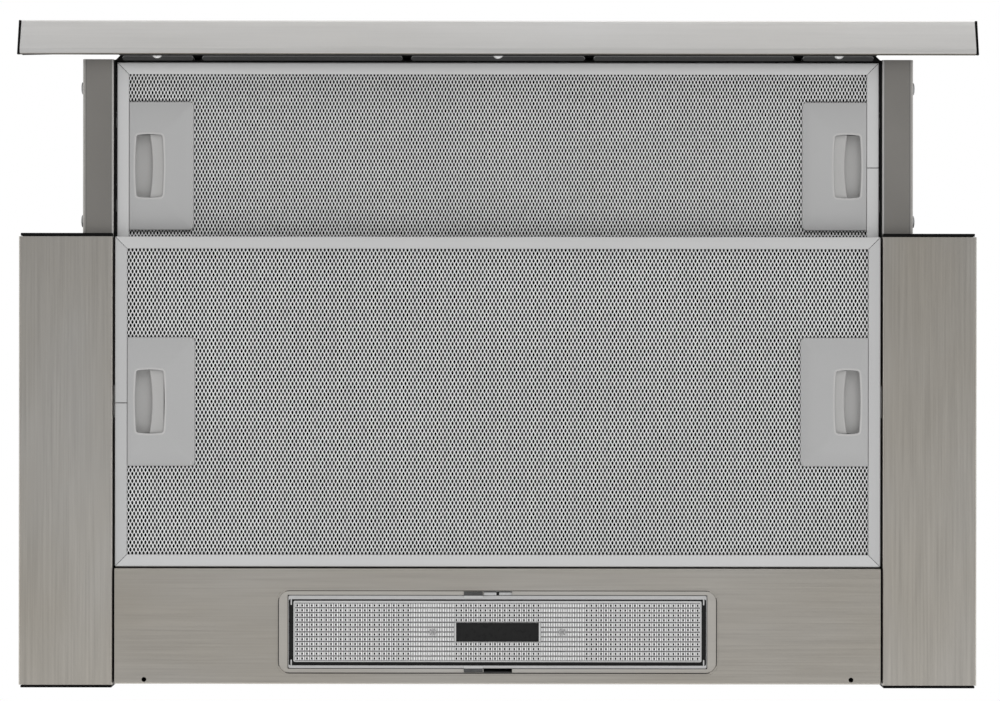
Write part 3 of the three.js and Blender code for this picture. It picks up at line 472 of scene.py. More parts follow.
def finished(piece, finish, edge):
    # one finish, and narrow round edges
    piece.data.materials.clear()
    piece.data.materials.append(finishes[finish])
    if edge:
        bevel = piece.modifiers.new("edges", "BEVEL")
        bevel.width = edge * mm
        bevel.segments = 2
        bevel.limit_method = "ANGLE"
        bevel.angle_limit = math.radians(edgeAngle)
        bevel.use_clamp_overlap = True
        bevel.harden_normals = True


def facesOf(piece):
    # x, y and z of the faces' centres, in millimetres
    centres = np.empty(3 * len(piece.data.polygons))
    piece.data.polygons.foreach_get("center", centres)
    return centres.reshape(-1, 3).T / mm


def coat(piece, finish, chosen):
    # another finish on the chosen faces
    indices = np.empty(len(piece.data.polygons), int)
    piece.data.polygons.foreach_get("material_index", indices)
    indices[chosen] = len(piece.data.materials)
    piece.data.materials.append(finishes[finish])
    piece.data.polygons.foreach_set("material_index", indices.astype(np.int32))


def makePiece(name, part, finish, standsFor, edge=0.0, angle=35, cutters=(), beside=False):
    # standsFor is the node whose body the piece has; beside leaves that node in sight
    mesh = meshOf(name, part)
    if cutters:
        mesh = cut(mesh, name, cutters)
    mesh.name = name
    mesh.polygons.foreach_set("use_smooth", [True] * len(mesh.polygons))
    mesh.set_sharp_from_angle(angle=math.radians(angle))
    piece = linked(name, mesh)
    finished(piece, finish, edge)
    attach(piece, frame["nodes"][standsFor]["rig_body"])
    if not beside:
        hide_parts(standsFor)
    return piece


def keepNode(name, finish, edge, smooth):
    # a node that keeps its solid: a finish, the loose triangles welded and the edges softened
    kept = frame["nodes"][name]
    kept.data.polygons.foreach_set("use_smooth", [smooth] * len(kept.data.polygons))
    kept.modifiers.new("weld", "WELD").merge_threshold = 1e-5
    finished(kept, finish, edge)


# filters
filterShape = {
    "rim": 7.5, "sheet": 0.8, "bend": 0.12, "corner": 1.1, "mitreGap": 0.2, "buttGap": 0.5, "edge": 0.12,
    "meshUnder": 1.4,  # mesh's middle above the frame's underside
    "meshRidge": 0.25, "holeLong": 2.9, "holeFlat": 1.0, "spread": 0.05,
    "holeWide": 4 / 7,  # of the pitch across
    "meshEdge": 1.6,  # frame's outer side to the mesh
    "plateCover": 2.6,  # mesh below a latch plate's edge
    "seed": 7,  # of the holes' irregularity
    "slotHalf": 10.6, "slotHigh": (5.9, 8.0), "slotReach": (-2, 3),  # the latches' slots in the side bars
}
filters = {  # the holes' pitch, and the side bar that is in two halves, its joint behind the middle
    "front": {"pitch": (2.12, 4.50), "butt": right, "shift": 1.8},
    "rear": {"pitch": (2.345, 4.50), "butt": left, "shift": 0.9},
}


def expandedMesh(low, high, centre, z, pitch, gaps, keep, seed):
    # Lattice point (p, q) lies p and q half pitches from the centre. Where p + q is even it is the middle of
    # a six-sided hole, where odd a corner of four cells. A strand's backs are at the corners, above and
    # below the middle plane, and it thins to nothing at the holes' rims.
    s = filterShape
    step = np.array(pitch) / 2
    first = np.ceil((low - centre) / step).astype(int)
    last = np.floor((high - centre) / step).astype(int)
    p, q = np.meshgrid(np.arange(first[0], last[0] + 1), np.arange(first[1], last[1] + 1), indexing="ij")
    x, y = centre[0] + p * step[0], centre[1] + q * step[1]
    inner = (p > first[0]) & (p < last[0]) & (q > first[1]) & (q < last[1])
    isCell = ((p + q) % 2 == 0) & inner & keep(p)
    for (x0, x1), (y0, y1) in gaps:
        isCell &= ~((x + step[0] > x0) & (x - step[0] < x1) & (y + step[1] > y0) & (y - step[1] < y1))
    i, j = np.nonzero(isCell)
    ci, cj = np.stack([i - 1, i, i + 1, i], 1), np.stack([j, j - 1, j, j + 1], 1)
    used = np.zeros(p.shape, bool)
    used[ci, cj] = True
    below = np.full(p.shape, -1)
    below[used] = np.arange(used.sum())
    above = below + used.sum()
    wobble = 1 + s["spread"] * np.random.default_rng(seed).uniform(-1, 1, (len(i), 6, 1))
    wide, long, flat = s["holeWide"] * pitch[0], s["holeLong"], s["holeFlat"]
    shape = np.array([(-wide, -flat), (0, -long), (wide, -flat), (wide, flat), (0, long), (-wide, flat)]) / 2
    rim = np.full((len(i), 6, 3), z)
    rim[..., :2] = np.stack([x[i, j], y[i, j]], 1)[:, None] + shape * wobble
    corners = np.column_stack([x[used], y[used]])
    points = np.vstack([atHeight(corners, z - s["meshRidge"]), atHeight(corners, z + s["meshRidge"]),
                        rim.reshape(-1, 3)])
    ring = 2 * used.sum() + np.arange(6 * len(i)).reshape(-1, 6)
    under, over = below[ci, cj], above[ci, cj]
    faces = []
    for back in (under, over):
        for k, r in ((0, 0), (1, 1), (2, 3), (3, 4)):
            faces += np.stack([back[:, k], ring[:, r], ring[:, r + 1], back[:, (k + 1) % 4]], -1).tolist()
        for k, start, end in ((2, 2, 3), (0, 5, 0)):
            faces += np.stack([back[:, k], ring[:, start], ring[:, end]], -1).tolist()
    # where the next cell is missing, a wall closes the sheet's edge
    nextI, nextJ = i[:, None] + [-1, 1, 1, -1], j[:, None] + [-1, -1, 1, 1]
    walls = np.stack([under, np.roll(under, -1, 1), np.roll(over, -1, 1), over], -1)[~isCell[nextI, nextJ]]
    return points, faces + walls.tolist()


def filterFrame(low, high, values):
    # four bars of channel section: x or y runs between mitre planes, and one side bar is in two halves
    s = filterShape
    z0, z1 = low[2], high[2]
    outline = folded([(0, z0), (s["rim"], z0), (s["rim"], z1), (0, z1)], s["sheet"], s["bend"], 4)
    inner = np.array([low[:2] + s["rim"], high[:2] - s["rim"]])
    o, z = outline.T
    bars = []
    for axis in (0, 1):
        middle = inner[:, axis].mean()
        for side in (left, right):
            ends = [(inner[0, axis] - o + s["mitreGap"], inner[1, axis] + o - s["mitreGap"])]
            if axis == 1 and side == values["butt"]:
                gap, middle = s["buttGap"] / 2, middle + values["shift"]
                ends = [(ends[0][0], middle - gap + 0 * o), (middle + gap + 0 * o, ends[0][1])]
            for start, end in ends:
                loops = np.empty((2, len(o), 3))
                loops[..., axis] = [start, end]
                loops[..., 1 - axis] = inner[0 if side == left else 1, 1 - axis] + side * o
                loops[..., 2] = z
                bars.append(lofted(loops))
    return joined(*bars)


def cornersOff(low, high, radius):
    # what lies outside a quarter circle at each of the four upright corners
    arc = ellipse(np.linspace(0, np.pi / 2, 7), radius, radius) - radius
    outline = np.vstack([[(1, -radius)], arc, [(-radius, 1), (1, 1)]])
    return [slab([x, y] + outline * [sx, sy], (low[2] - 1, high[2] + 1))
            for sx, x in ((left, low[0]), (right, high[0])) for sy, y in ((left, low[1]), (right, high[1]))]


for name, values in filters.items():
    s = filterShape
    low, high = box(name + "_filter_frame")
    boltLow, boltHigh = box(name + "_latch_left")
    middleY = (boltLow[1] + boltHigh[1]) / 2
    slots = [block(sorted(side * (high[0] - np.array(s["slotReach"]))),
                   (middleY - s["slotHalf"], middleY + s["slotHalf"]), low[2] + np.array(s["slotHigh"]))
             for side in (left, right)]
    rim = makePiece(name + "_filter_rim", filterFrame(low, high, values), name + "Frame",
                    name + "_filter_frame", edge=s["edge"],
                    cutters=slots + cornersOff(low, high, s["corner"]))
    x, y, _ = facesOf(rim)
    # painted shade: the side bars take a darker copy of the frame's aluminium than the end bars
    coat(rim, name + "Side", high[0] - abs(x) < np.minimum(y - low[1], high[1] - y))
    gaps = []
    for side, word in bothSides:
        plateLow, plateHigh = box(f"{name}_latch_housing_{word}")
        inner = sorted((abs(plateLow[0]), abs(plateHigh[0])))[0] + s["plateCover"]
        gaps.append((sorted((side * inner, side * 2 * high[0])),
                     (plateLow[1] + s["plateCover"], plateHigh[1] - s["plateCover"])))
    # the rear mesh is in two pieces that meet on a line of strands
    halves = [lambda p: p == p] if name == "front" else [lambda p: p <= 0, lambda p: p > 0]
    for k, keep in enumerate(halves):
        part = expandedMesh(low[:2] + s["meshEdge"], high[:2] - s["meshEdge"], (low[:2] + high[:2]) / 2,
                            low[2] + s["meshUnder"], values["pitch"], gaps, keep, s["seed"] + k)
        piece = makePiece(f"{name}_filter_grille_{k + 1}", part, "meshAluminium", name + "_filter_mesh",
                          angle=0)
        print(f"{name} filter mesh {k + 1}:", len(piece.data.polygons), "faces")


# latches
latchShape = {
    "corner": 2.5, "squareCorner": 0.3, "edge": 0.35, "skin": 1.0, "steps": (5, 10),
    "pitLong": 38.3, "pitRadius": 1.1, "bulge": (0.85, 0.65),
    # width and height of the pit's raised lip, and its section in shares of both
    "lip": 1.0, "lipRise": 0.2,
    "lipSection": ((1, 0.25), (0.8, 1), (0.45, 1), (0.2, 0.6)), "lipFillet": 0.25, "chamfer": 0.12,
    "pocketReach": 9.6, "pocketEnd": 1.2, "pocketOuter": 1.9, "pocketCorner": 0.4,
    "thumbWide": 9.0, "thumbHollow": 1.7, "thumbEnd": 0.5, "thumbRound": 0.7,
    "thumbDish": 0.28, "floor": 6.3, "floorThick": 1.3, "floorDish": 1.1, "gap": 0.3,
    "boltWide": 20, "boltRound": 2, "slotGap": 0.5,
}
# from the filter's side: the finger pit's two edges, and the thumb piece's face at its middle
latchPits = {
    ("front", left): (12.45, 28.35, 22.2), ("front", right): (12.05, 27.45, 21.4),
    ("rear", left): (13.45, 30.1, 23.1), ("rear", right): (13.45, 27.65, 22.6),
}


def barrel(points, centre, half, bulge):
    # sides bowed outward: x grows by b (1 - (y/h)^2) of its share, and y likewise
    p = (points - centre) / half
    return centre + (p + p * bulge / half * (1 - p[:, ::-1] ** 2)) * half


def latchHousing(name, side, low, high, filterHalf, filterLow):
    # loops from the top down the outside, over the underside, round the pit's raised lip and up the pocket
    s = latchShape
    face, top, square = low[2], high[2], s["squareCorner"]
    radii = np.roll([square, s["corner"], s["corner"], square], 1 + side)  # square beside the filter's frame
    pitOuter, pitInner, _ = latchPits[name, side]
    middle = (low[1] + high[1]) / 2
    centre = np.array([side * (filterHalf - (pitInner + pitOuter) / 2), middle])
    half = np.array([(pitInner - pitOuter) / 2, s["pitLong"] / 2])

    def plate(inset, z):
        # the housing's outline drawn in by the inset
        return atHeight(rectangle((low[0] + inset, high[0] - inset), (low[1] + inset, high[1] - inset),
                                  np.maximum(radii - inset, 0.05), *s["steps"]), z)

    def pit(grow, z):
        # the finger pit's barrelled outline, grown all round
        h = half + grow
        outline = rectangle(centre[0] + [-h[0], h[0]], centre[1] + [-h[1], h[1]],
                            s["pitRadius"] + max(grow, 0), *s["steps"])
        return atHeight(barrel(outline, centre, h, s["bulge"]), z)

    pocketX = side * np.array([filterHalf - pitInner - s["pocketReach"],
                               filterHalf - pitOuter + s["pocketOuter"]])
    pocketHalf = s["pitLong"] / 2 + s["pocketEnd"]

    def pocket(z):
        # the wider space over the pit, where the slider runs
        return atHeight(rectangle(pocketX, (middle - pocketHalf, middle + pocketHalf), s["pocketCorner"],
                                  *s["steps"]), z)

    under = face + s["skin"]
    return lofted([
        plate(0, top), plate(0, face + s["edge"]),
        plate(s["chamfer"], face + s["chamfer"]), plate(s["edge"], face),
        pit(s["lip"] + s["lipFillet"], face), *(pit(wide * s["lip"], face - high * s["lipRise"])
                                          for wide, high in s["lipSection"]),
        pit(0, face + s["lipFillet"]), pit(0, under), pocket(under),
        pocket(filterLow + s["floor"] + s["floorThick"] + s["gap"])])


def latchSlider(name, side, middle, filterHalf, filterLow, boltReach):
    # sections across the slider, one for each place along its length: the thumb piece's face is drawn in
    # by h (1 - (y/e)^2), and the floor behind it is a shallow dish
    s = latchShape
    pitOuter, _, thumbLine = latchPits[name, side]
    face = filterHalf - thumbLine + s["thumbHollow"]
    end = s["pitLong"] / 2 + s["thumbEnd"]
    y = np.linspace(-end, end, 21)
    inner = face - s["thumbWide"]
    outer = filterHalf - pitOuter + s["pocketOuter"] - s["gap"]
    thumb, floor = filterLow + s["skin"] + s["gap"], filterLow + s["floor"]
    back, r = floor + s["floorThick"], s["thumbRound"]
    t, quarter = np.linspace(0, 1, 9), np.linspace(0, np.pi / 2, 6)
    sine, cosine = r * np.sin(quarter), r * np.cos(quarter)

    def section(edge):
        # (x, z) from the thumb piece's inner end, over its round edge and down, and along the floor
        foot = edge + s["gap"] + r
        dish = floor - s["floorDish"] * np.maximum(2 * t - 1, 0) ** 2
        return np.vstack([
            np.column_stack([inner + (edge - r - inner) * t, thumb + s["thumbDish"] * np.sin(np.pi * t)]),
            np.column_stack([edge - r + sine, thumb + r - cosine])[1:],
            np.column_stack([foot - cosine, floor - r + sine]),
            np.column_stack([foot + (outer - foot) * t, dish])[1:], [(outer, back), (inner, back)]])

    sections = np.stack([section(edge) for edge in face - s["thumbHollow"] * (1 - (y / end) ** 2)])
    loops = np.empty((*sections.shape[:2], 3))
    loops[..., 0], loops[..., 2] = side * sections[..., 0], sections[..., 1]
    loops[..., 1] = middle + y[:, None]
    half, start = s["boltWide"] / 2, outer - 1
    bolt = rounded([(start, -half), (boltReach, -half), (boltReach, half), (start, half)],
                   [0, s["boltRound"], s["boltRound"], 0])
    return joined(lofted(loops), slab(bolt * [side, 1] + [0, middle], (floor, back)))


for name in filters:
    s = latchShape
    frameLow, frameHigh = box(name + "_filter_frame")
    level, slotHalf = frameLow[2] + s["floor"], s["boltWide"] / 2 + s["slotGap"]
    for side, word in bothSides:
        low, high = box(f"{name}_latch_housing_{word}")
        middle = (low[1] + high[1]) / 2
        boltReach = np.abs(box(f"{name}_latch_{word}")).max(0)[0]
        slotX = np.array([max(abs(low[0]), abs(high[0])) + 2, frameHigh[0] - latchPits[name, side][0] - 1])
        slot = block(sorted(side * slotX), (middle - slotHalf, middle + slotHalf),
                     (level - s["gap"], level + s["floorThick"] + s["gap"]))
        plate = makePiece(f"{name}_latch_plate_{word}",
                          latchHousing(name, side, low, high, frameHigh[0], frameLow[2]),
                          "platePlastic", f"{name}_latch_housing_{word}", angle=40, cutters=[slot])
        coat(plate, "rimPlastic", facesOf(plate)[2] < low[2] - 0.02)
        makePiece(f"{name}_latch_slider_{word}",
                  latchSlider(name, side, middle, frameHigh[0], frameLow[2], boltReach),
                  "sliderPlastic", f"{name}_latch_{word}", angle=40, edge=0.12)
print("filters: frames, meshes, latches")


# fascia
fasciaShape = {
    "sheet": 1.0, "bend": 0.6, "lipStrip": 3.8, "lipRise": 0.35, "lip": 3.6, "topFlange": 14, "rise": 8.3,
    # the lip's end is painted darker for the shade on it
    "edge": 1.05, "line": 0.5,  # of the lip's end, the outer part darker
    "shadowStripHalf": 236, "shadowStripY": (-1.3, 0.06), "shadowStripZ": (3.0, 9.3),
    "tongueX": (1.4, 20), "tongueY": (-1.2, 0.38), "tongueZ": (2.2, 3.4),
}
low, high = box("fascia")
s = fasciaShape
# the folded strip's section (y, z): top flange, front, sloping underside, a narrow strip and the rear lip
path = [(low[1] + s["topFlange"], high[2]), (low[1], high[2]), (low[1], low[2] + s["rise"]),
        (high[1] - s["lipStrip"], low[2] + s["lipRise"]), (high[1], low[2]), (high[1], low[2] + s["lip"])]
strip = makePiece("fascia_strip", extruded(folded(path, s["sheet"], s["bend"]), 0, low[0], high[0]),
                  "fasciaSteel", "fascia", edge=0.15, angle=30)
_, y, z = facesOf(strip)
# painted shade: the lip's end is darkened, its outer part nearly black
for finish, depth in (("fasciaEdge", s["edge"]), ("fasciaLine", s["line"])):
    coat(strip, finish, (y > high[1] - depth) & (z < low[2] + s["lip"] + 0.1))
# a black strip stands on the lip in front of the screws, a dark piece put there for the lip's shadow over
# the screw heads, and a tongue of the left end cap behind it
shadowStrip = rectangle(high[1] + np.array(s["shadowStripY"]), low[2] + np.array(s["shadowStripZ"]), 0.05)
makePiece("fascia_shadow_strip", extruded(shadowStrip, 0, -s["shadowStripHalf"], s["shadowStripHalf"]), "blackPlastic", "fascia",
          angle=30, beside=True)
(near, far), (front, proud) = s["tongueX"], s["tongueY"]
wedge = [low[0], high[1]] + np.array([(near, front), (far, front), (far, 0), (near, proud)])
makePiece("fascia_tongue", slab(wedge, low[2] + np.array(s["tongueZ"])), "blackPlastic", "fascia_cap_left",
          angle=30, beside=True)


# side covers
coverShape = {"sheet": 1.0, "bend": 0.3, "lip": 7.0, "casingGap": 0.3}
s = coverShape
for side, word in bothSides:
    low, high = box(f"side_cover_{word}")
    inner, outer = sorted((abs(low[0]), abs(high[0])))
    # section (x, z) of the channel: inner lip, floor, outer wall and the flange over it
    path = [(inner, low[2] + s["lip"]), (inner, low[2]), (outer, low[2]), (outer, high[2]),
            (box("casing")[1][0] + s["casingGap"], high[2])]
    makePiece(f"cover_{word}", extruded(folded(path, s["sheet"], s["bend"]) * [side, 1], 1, low[1], high[1]),
              "coverSteel", f"side_cover_{word}", edge=0.15, angle=30)


# drawer rails
railShape = {
    "sheet": 1.0, "innerBend": 0.15, "outerBend": 0.85, "line": 0.3, "lineGap": 0.15,
    "rivet": 7.6, "rivetRise": 1.0, "rivetProud": 1.5, "rivetRim": 0.7, "rivetUp": 6.2,
    "rivetSetbacks": (17.8, 101), "rivetFoot": -0.4,
}
s = railShape
for side, word in bothSides:
    low, high = box(f"drawer_rail_{word}")
    inner, outer = sorted((abs(low[0]), abs(high[0])))
    outer -= s["rivetRise"]
    # a narrow line beside each bend is marked on the flat underside, to be painted dark as the shade of a
    # rolled line
    innerLine = inner + s["sheet"] + s["innerBend"] + s["lineGap"]
    outerLine = outer - s["sheet"] - s["outerBend"] - s["lineGap"]
    across = [inner, innerLine, innerLine + s["line"], outerLine - s["line"], outerLine, outer]
    outline = folded([(inner, high[2]), *[(x, low[2]) for x in across], (outer, high[2])], s["sheet"],
                     (0, s["innerBend"], 0, 0, 0, 0, s["outerBend"], 0), 5)
    head = dome(s["rivet"] / 2, s["rivetProud"], s["rivetFoot"], 9, s["rivetRim"]) * [1, side]
    rivets = [revolved(head, 0, (side * outer, low[1] + setback, low[2] + s["rivetUp"]), 40)
              for setback in s["rivetSetbacks"]]
    rail = makePiece(f"rail_{word}", joined(extruded(outline * [side, 1], 1, low[1], high[1]), *rivets),
                     "railSteel", f"drawer_rail_{word}", edge=0.15, angle=30)
    x, _, z = facesOf(rail)
    aside, underside = abs(x), low[2] + s["sheet"]
    # painted highlights on the bends, and painted shade on the two narrow lines
    coat(rail, "railInner", (aside < innerLine) & (z < underside))
    coat(rail, "railOuter", (aside > outerLine) & (z < underside + s["outerBend"]))
    coat(rail, "railLine", (z < low[2] + 0.1) & np.logical_or(
        *[(aside > start) & (aside < end) for start, end in (across[1:3], across[3:5])]))
    coat(rail, "rivetSteel", aside > outer + 0.02)
print("fascia, covers, rails")


# lamp panel
panelShape = {
    "sheet": 1.0, "flange": 14.0, "bend": 0.6, "recess": (272.6, 51.2), "recessRadius": 7.0,
    "recessRise": 1.2, "opening": (261.2, 46.0), "stepThick": 0.8, "stepRadius": 0.35, "ledge": 1.5,
    "pressed": 1.3, "seam": 0.05, "hole": 1.5, "holeInset": 18.4, "holeSetback": 2.9, "notchX": (-8.7, 9.1),
    "notchY": (-1, 2.4),
    "ledgeHalf": (137, 26), "stepOuter": (136.75, 26.05), "stepInner": (135.9, 25.2),  # for the finishes
}


def lampPanel(low, high, lampY):
    # the folded sheet with a round-cornered hole, and the pressed ring that steps up from it to the opening
    s = panelShape
    floor, t, rise = low[2], s["sheet"], s["recessRise"]
    halfRecess, halfOpening = np.array(s["recess"]) / 2, np.array(s["opening"]) / 2

    def loop(half, radius, z):
        # rounded rectangle about the lens's middle
        outline = rectangle((-half[0], half[0]), (lampY - half[1], lampY + half[1]), radius, 8)
        return atHeight(outline, floor + z)

    outline = folded([(low[1], floor + s["flange"]), (low[1], floor), (high[1], floor),
                      (high[1], floor + s["flange"])], t, s["bend"])
    hole = s["pressed"]
    sheet = cut(meshOf("panel_sheet", extruded(outline, 0, low[0], high[0])), "panel_sheet",
                [lofted([loop(halfRecess + hole, s["recessRadius"] + hole, z) for z in (-3, 4)])])
    # section of the step (distance outside the recess, height): underside, outer edge and back
    end, step, ledge = hole - s["seam"], s["stepThick"], s["ledge"]
    wall = rounded([(-ledge, rise + t), (-ledge, rise), (0, rise), (0, 0), (end, 0), (end, t), (step, t),
                    (step, rise + t)], [0, 0, 0.3, s["stepRadius"], 0, 0, 0.15, 0.5], 4)
    loops = [loop(halfOpening, 0.4, rise + t), loop(halfOpening, 0.4, rise)]
    loops += [loop(halfRecess + d, s["recessRadius"] + d, z) for d, z in distinct(wall) if d > 0.1 - ledge]
    return joined(partOf(sheet), lofted(loops, closeRows=True))


low, high = box("lamp_panel")
lensLow, lensHigh = box("lamp_lens")
lampY = (lensLow[1] + lensHigh[1]) / 2
s = panelShape
holes = []
for side in (left, right):
    place = (side * (high[0] - s["holeInset"]), high[1] - s["holeSetback"], low[2])
    holes.append(revolved([(0, -3), (s["hole"], -3), (s["hole"], 3), (0, 3)], 2, place, 40))
    notch = lampY + side * (s["opening"][1] / 2 + np.array(s["notchY"]))
    holes.append(block(s["notchX"], sorted(notch), (low[2] - 1, low[2] + 4)))
panel = makePiece("panel_pressing", lampPanel(low, high, lampY), "panelSteel", "lamp_panel", angle=30,
                  edge=0.1, cutters=holes)


def within(faces, width, front, rear=None):
    # faces inside a half width and a reach to the front and to the rear from the lens's middle
    x, y, _ = faces
    return (abs(x) < width) & (y > lampY - front) & (y < lampY + (rear or front))


faces = facesOf(panel)
height = faces[2] - low[2]
# painted light and shade: the ledge round the lens opening takes a lighter copy of the panel's steel, the
# step's wall a dark one
coat(panel, "panelLedge", (abs(height - s["recessRise"]) < hair) & within(faces, *s["ledgeHalf"]))
coat(panel, "panelStep", (height > hair) & (height < s["recessRise"] - hair)
     & within(faces, *s["stepOuter"]) & ~within(faces, *s["stepInner"]))


# lamp lens
lensShape = {
    "gap": 0.4, "columns": 84, "rows": 12, "pitch": 3.0, "valleyGap": (0.28, 0.32), "apex": 1.1,
    "valley": 0.95, "peak": 0.1, "margin": 0.7, "grooveDeep": 1.5, "corner": 1.0,
    # half width, and the reach to the front and rear, of the bevel's inner edge and the groove's
    "crest": (130.05, 20.5, 20.95), "fieldEdge": (126.95, 19.35, 18.7),
    "cornerRib": (127.9, 128.7), "ribLong": 3.6, "ribHigh": (0.25, 1.6),
    "window": (18, 4), "windowInset": (1.25, 0.15), "windowDrop": 0.7,
    "tabX": (-20.9, -9.1), "tabSplit": (22.62, 22.58), "tabEnd": 21.2, "tabHigh": (0.05, 0.75),
    # stud: profile (radius, height) of a flat crown inside a raised ring
    "markX": 40.2, "markRadius": 2.3,
    "mark": ((0, 0.5), (0, 0.3), (1.1, 0.25), (1.35, 0.02), (1.9, 0.02), (2.2, 0.5)),
    "holders": (26, 53),
    # two bright blocks seen through the front notch: start, end, reach from the middle, height
    "clips": ((-8.4, -0.66, 22.9, 1.0), (1.06, 8.8, 22.99, 1.3)), "clipEnd": 24.6,
    # limits of the finishes
    "rimEdge": 22.8, "clipRim": (22.7, 9, 1.4), "ribRim": ((127.5, 129), 15, 0.3), "rimHigh": 0.9,
    "groove": (0.5, 1.6), "flankGap": 0.1, "markHigh": (0.12, 0.4),
}
s = lensShape
level = lensLow[2]
fieldHalf = np.array([s["columns"], s["rows"]]) * s["pitch"] / 2
windowHalf = np.array(s["window"]) * s["pitch"] / 2
clearHalf = windowHalf - s["windowInset"]


def lensLoops(*rows):
    # closed loops from half width, reach to the front and to the rear, height above the lens, corner radius
    return lofted([atHeight(rectangle((-width, width), (lampY - front, lampY + rear), radius), level + z)
                   for width, front, rear, z, radius in rows])


def lensPlate():
    # nested loops from the top's edge down the side, up the bevel, round the groove and to the field's floor
    s = lensShape
    side = panelShape["opening"][1] / 2 - s["gap"]
    width, front, rear = s["crest"]
    edge, edgeFront, edgeRear = s["fieldEdge"]
    fieldX, fieldY = fieldHalf
    r, groove = s["corner"], s["grooveDeep"]
    return lensLoops(
        (lensHigh[0], side, side, lensHigh[2] - level, r), (lensHigh[0], side, side, 1.0, r),
        (width, front + 0.15, rear + 0.15, 0.05, r), (width - 0.1, front, rear, 0, r),
        (width - 0.2, front - 0.1, rear - 0.1, 0.1, r), (width - 0.3, front - 0.2, rear - 0.25, groove, r),
        (edge + 0.1, edgeFront + 0.1, edgeRear + 0.1, groove, r),
        (edge, edgeFront, edgeRear, s["margin"] + 0.1, r),
        (edge - 0.15, edgeFront - 0.15, edgeRear - 0.15, s["margin"], r),
        (fieldX + 0.1, fieldY + 0.1, fieldY + 0.1, s["margin"], 0.1),
        (fieldX, fieldY, fieldY, s["valley"], 0.1))


def lensWindow():
    # nested loops down the window's outer wall, over its rim and up to the plain pane
    s = lensShape
    (x, y), (innerX, innerY) = windowHalf, clearHalf
    return lensLoops(
        *((x - 0.1, y - 0.05, y - 0.05, z, 0.1) for z in (1.0, 0.3)),
        (x - 0.5, y - 0.08, y - 0.08, 0.05, 0.1), (innerX, innerY, innerY, 0.05, 0.1),
        (innerX - 0.1, innerY - 0.1, innerY - 0.1, s["windowDrop"], 0.1))


def lensField():
    # closed four-sided frusta on a grid: feet in the valleys, flat tips near the underside
    s = lensShape
    columns, rows = s["columns"], s["rows"]
    i, j = np.meshgrid(np.arange(columns), np.arange(rows), indexing="ij")
    wide, deep = s["window"]
    plain = (abs(i - (columns - 1) / 2) < wide / 2) & (abs(j - (rows - 1) / 2) < deep / 2)
    x = (i[~plain] + 0.5 - columns / 2) * s["pitch"]
    y = (j[~plain] + 0.5 - rows / 2) * s["pitch"] + lampY
    corner = np.array([(-1, -1), (1, -1), (1, 1), (-1, 1)]) / 2
    middle = np.stack([x, y], 1)[:, None]
    cells = np.empty((len(x), 8, 3))
    cells[:, :4, :2] = middle + corner * (s["pitch"] - np.array(s["valleyGap"]))
    cells[:, 4:, :2] = middle + corner * s["apex"]
    cells[:, :4, 2], cells[:, 4:, 2] = level + s["valley"] + 0.03, level + s["peak"]
    n = 8 * np.arange(len(x))[:, None]
    walls = np.stack([n + [0, 1, 2, 3], n + [1, 2, 3, 0], n + [5, 6, 7, 4], n + [4, 5, 6, 7]], -1)
    return cells.reshape(-1, 3), walls.reshape(-1, 4).tolist() + (n + [4, 5, 6, 7]).tolist() + (
        n + [3, 2, 1, 0]).tolist()


extras = [lensWindow()]
for side in (left, right):
    for start, end in ((lensHigh[1] - lampY, s["tabSplit"][0]), (s["tabSplit"][1], s["tabEnd"])):
        extras.append(block(s["tabX"], sorted((lampY + side * start, lampY + side * end)),
                            level + np.array(s["tabHigh"])))
    extras.append(revolved(s["mark"], 2, (side * s["markX"], lampY, level), 32))
    for y in (lampY - s["crest"][1] + 0.1, lampY + s["crest"][2] - s["ribLong"] - 0.1):
        rib = rectangle(side * np.array(s["cornerRib"]), (y, y + s["ribLong"]), 0.3, 4)
        extras.append(slab(rib, level + np.array(s["ribHigh"])))
for start, end, near, drop in s["clips"]:
    extras.append(block((start, end), (lampY - s["clipEnd"], lampY - near), (level + drop, lensHigh[2])))
lens = makePiece("lens_moulding", joined(lensPlate(), lensField(), *extras), "lensPlastic", "lamp_lens",
                 angle=20)
faces = facesOf(lens)
x, y = faces[0], faces[1] - lampY
height, aside, away = faces[2] - level, abs(x), abs(y)
inCrest, inField = within(faces, *s["crest"]), within(faces, *fieldHalf)
cells = inField & ~within(faces, *windowHalf)
tips = cells & (height < s["peak"] + hair)
coat(lens, "lensRim", (height < s["rimHigh"]) & ~inCrest & (away < s["rimEdge"]))
# painted shade: the groove, the valleys and the window are painted dark for the shade in and behind them,
# and the tips, made to mirror nothing, for the dark inside seen through them
coat(lens, "lensDark", (height < s["groove"][1]) & (
    (inCrest & ~within(faces, *s["fieldEdge"]) & (height > s["groove"][0]))
    | (inField & (abs(height - s["valley"]) < hair)) | within(faces, *clearHalf)))
coat(lens, "lensDark", tips)
# painted highlight: the flanks that face left and right take a brighter copy of the lens plastic
coat(lens, "lensBright", cells & (height > s["peak"] + s["flankGap"])
     & (height < s["valley"] - s["flankGap"])
     & (abs(x / s["pitch"] % 1 - 0.5) > abs(y / s["pitch"] % 1 - 0.5)))
# painted light: tips in front of the white lamp holders are paler, for the holders seen through the lens
coat(lens, "lensPale", tips & (aside > s["holders"][0]) & (aside < s["holders"][1]))
(ribStart, ribEnd), ribY, ribZ = s["ribRim"]
coat(lens, "lensRim", (aside > ribStart) & (aside < ribEnd) & (height < ribZ) & (away > ribY))
coat(lens, "lensMark", (height > s["markHigh"][0]) & (height < s["markHigh"][1])
     & ((aside - s["markX"]) ** 2 + y ** 2 < s["markRadius"] ** 2))
rimY, rimX, rimZ = s["clipRim"]
coat(lens, "lensTab", (away > rimY) & (x < -rimX))
coat(lens, "lensRim", (-y > rimY) & (aside < rimX) & (height < rimZ))
print("lens faces:", len(lens.data.polygons))


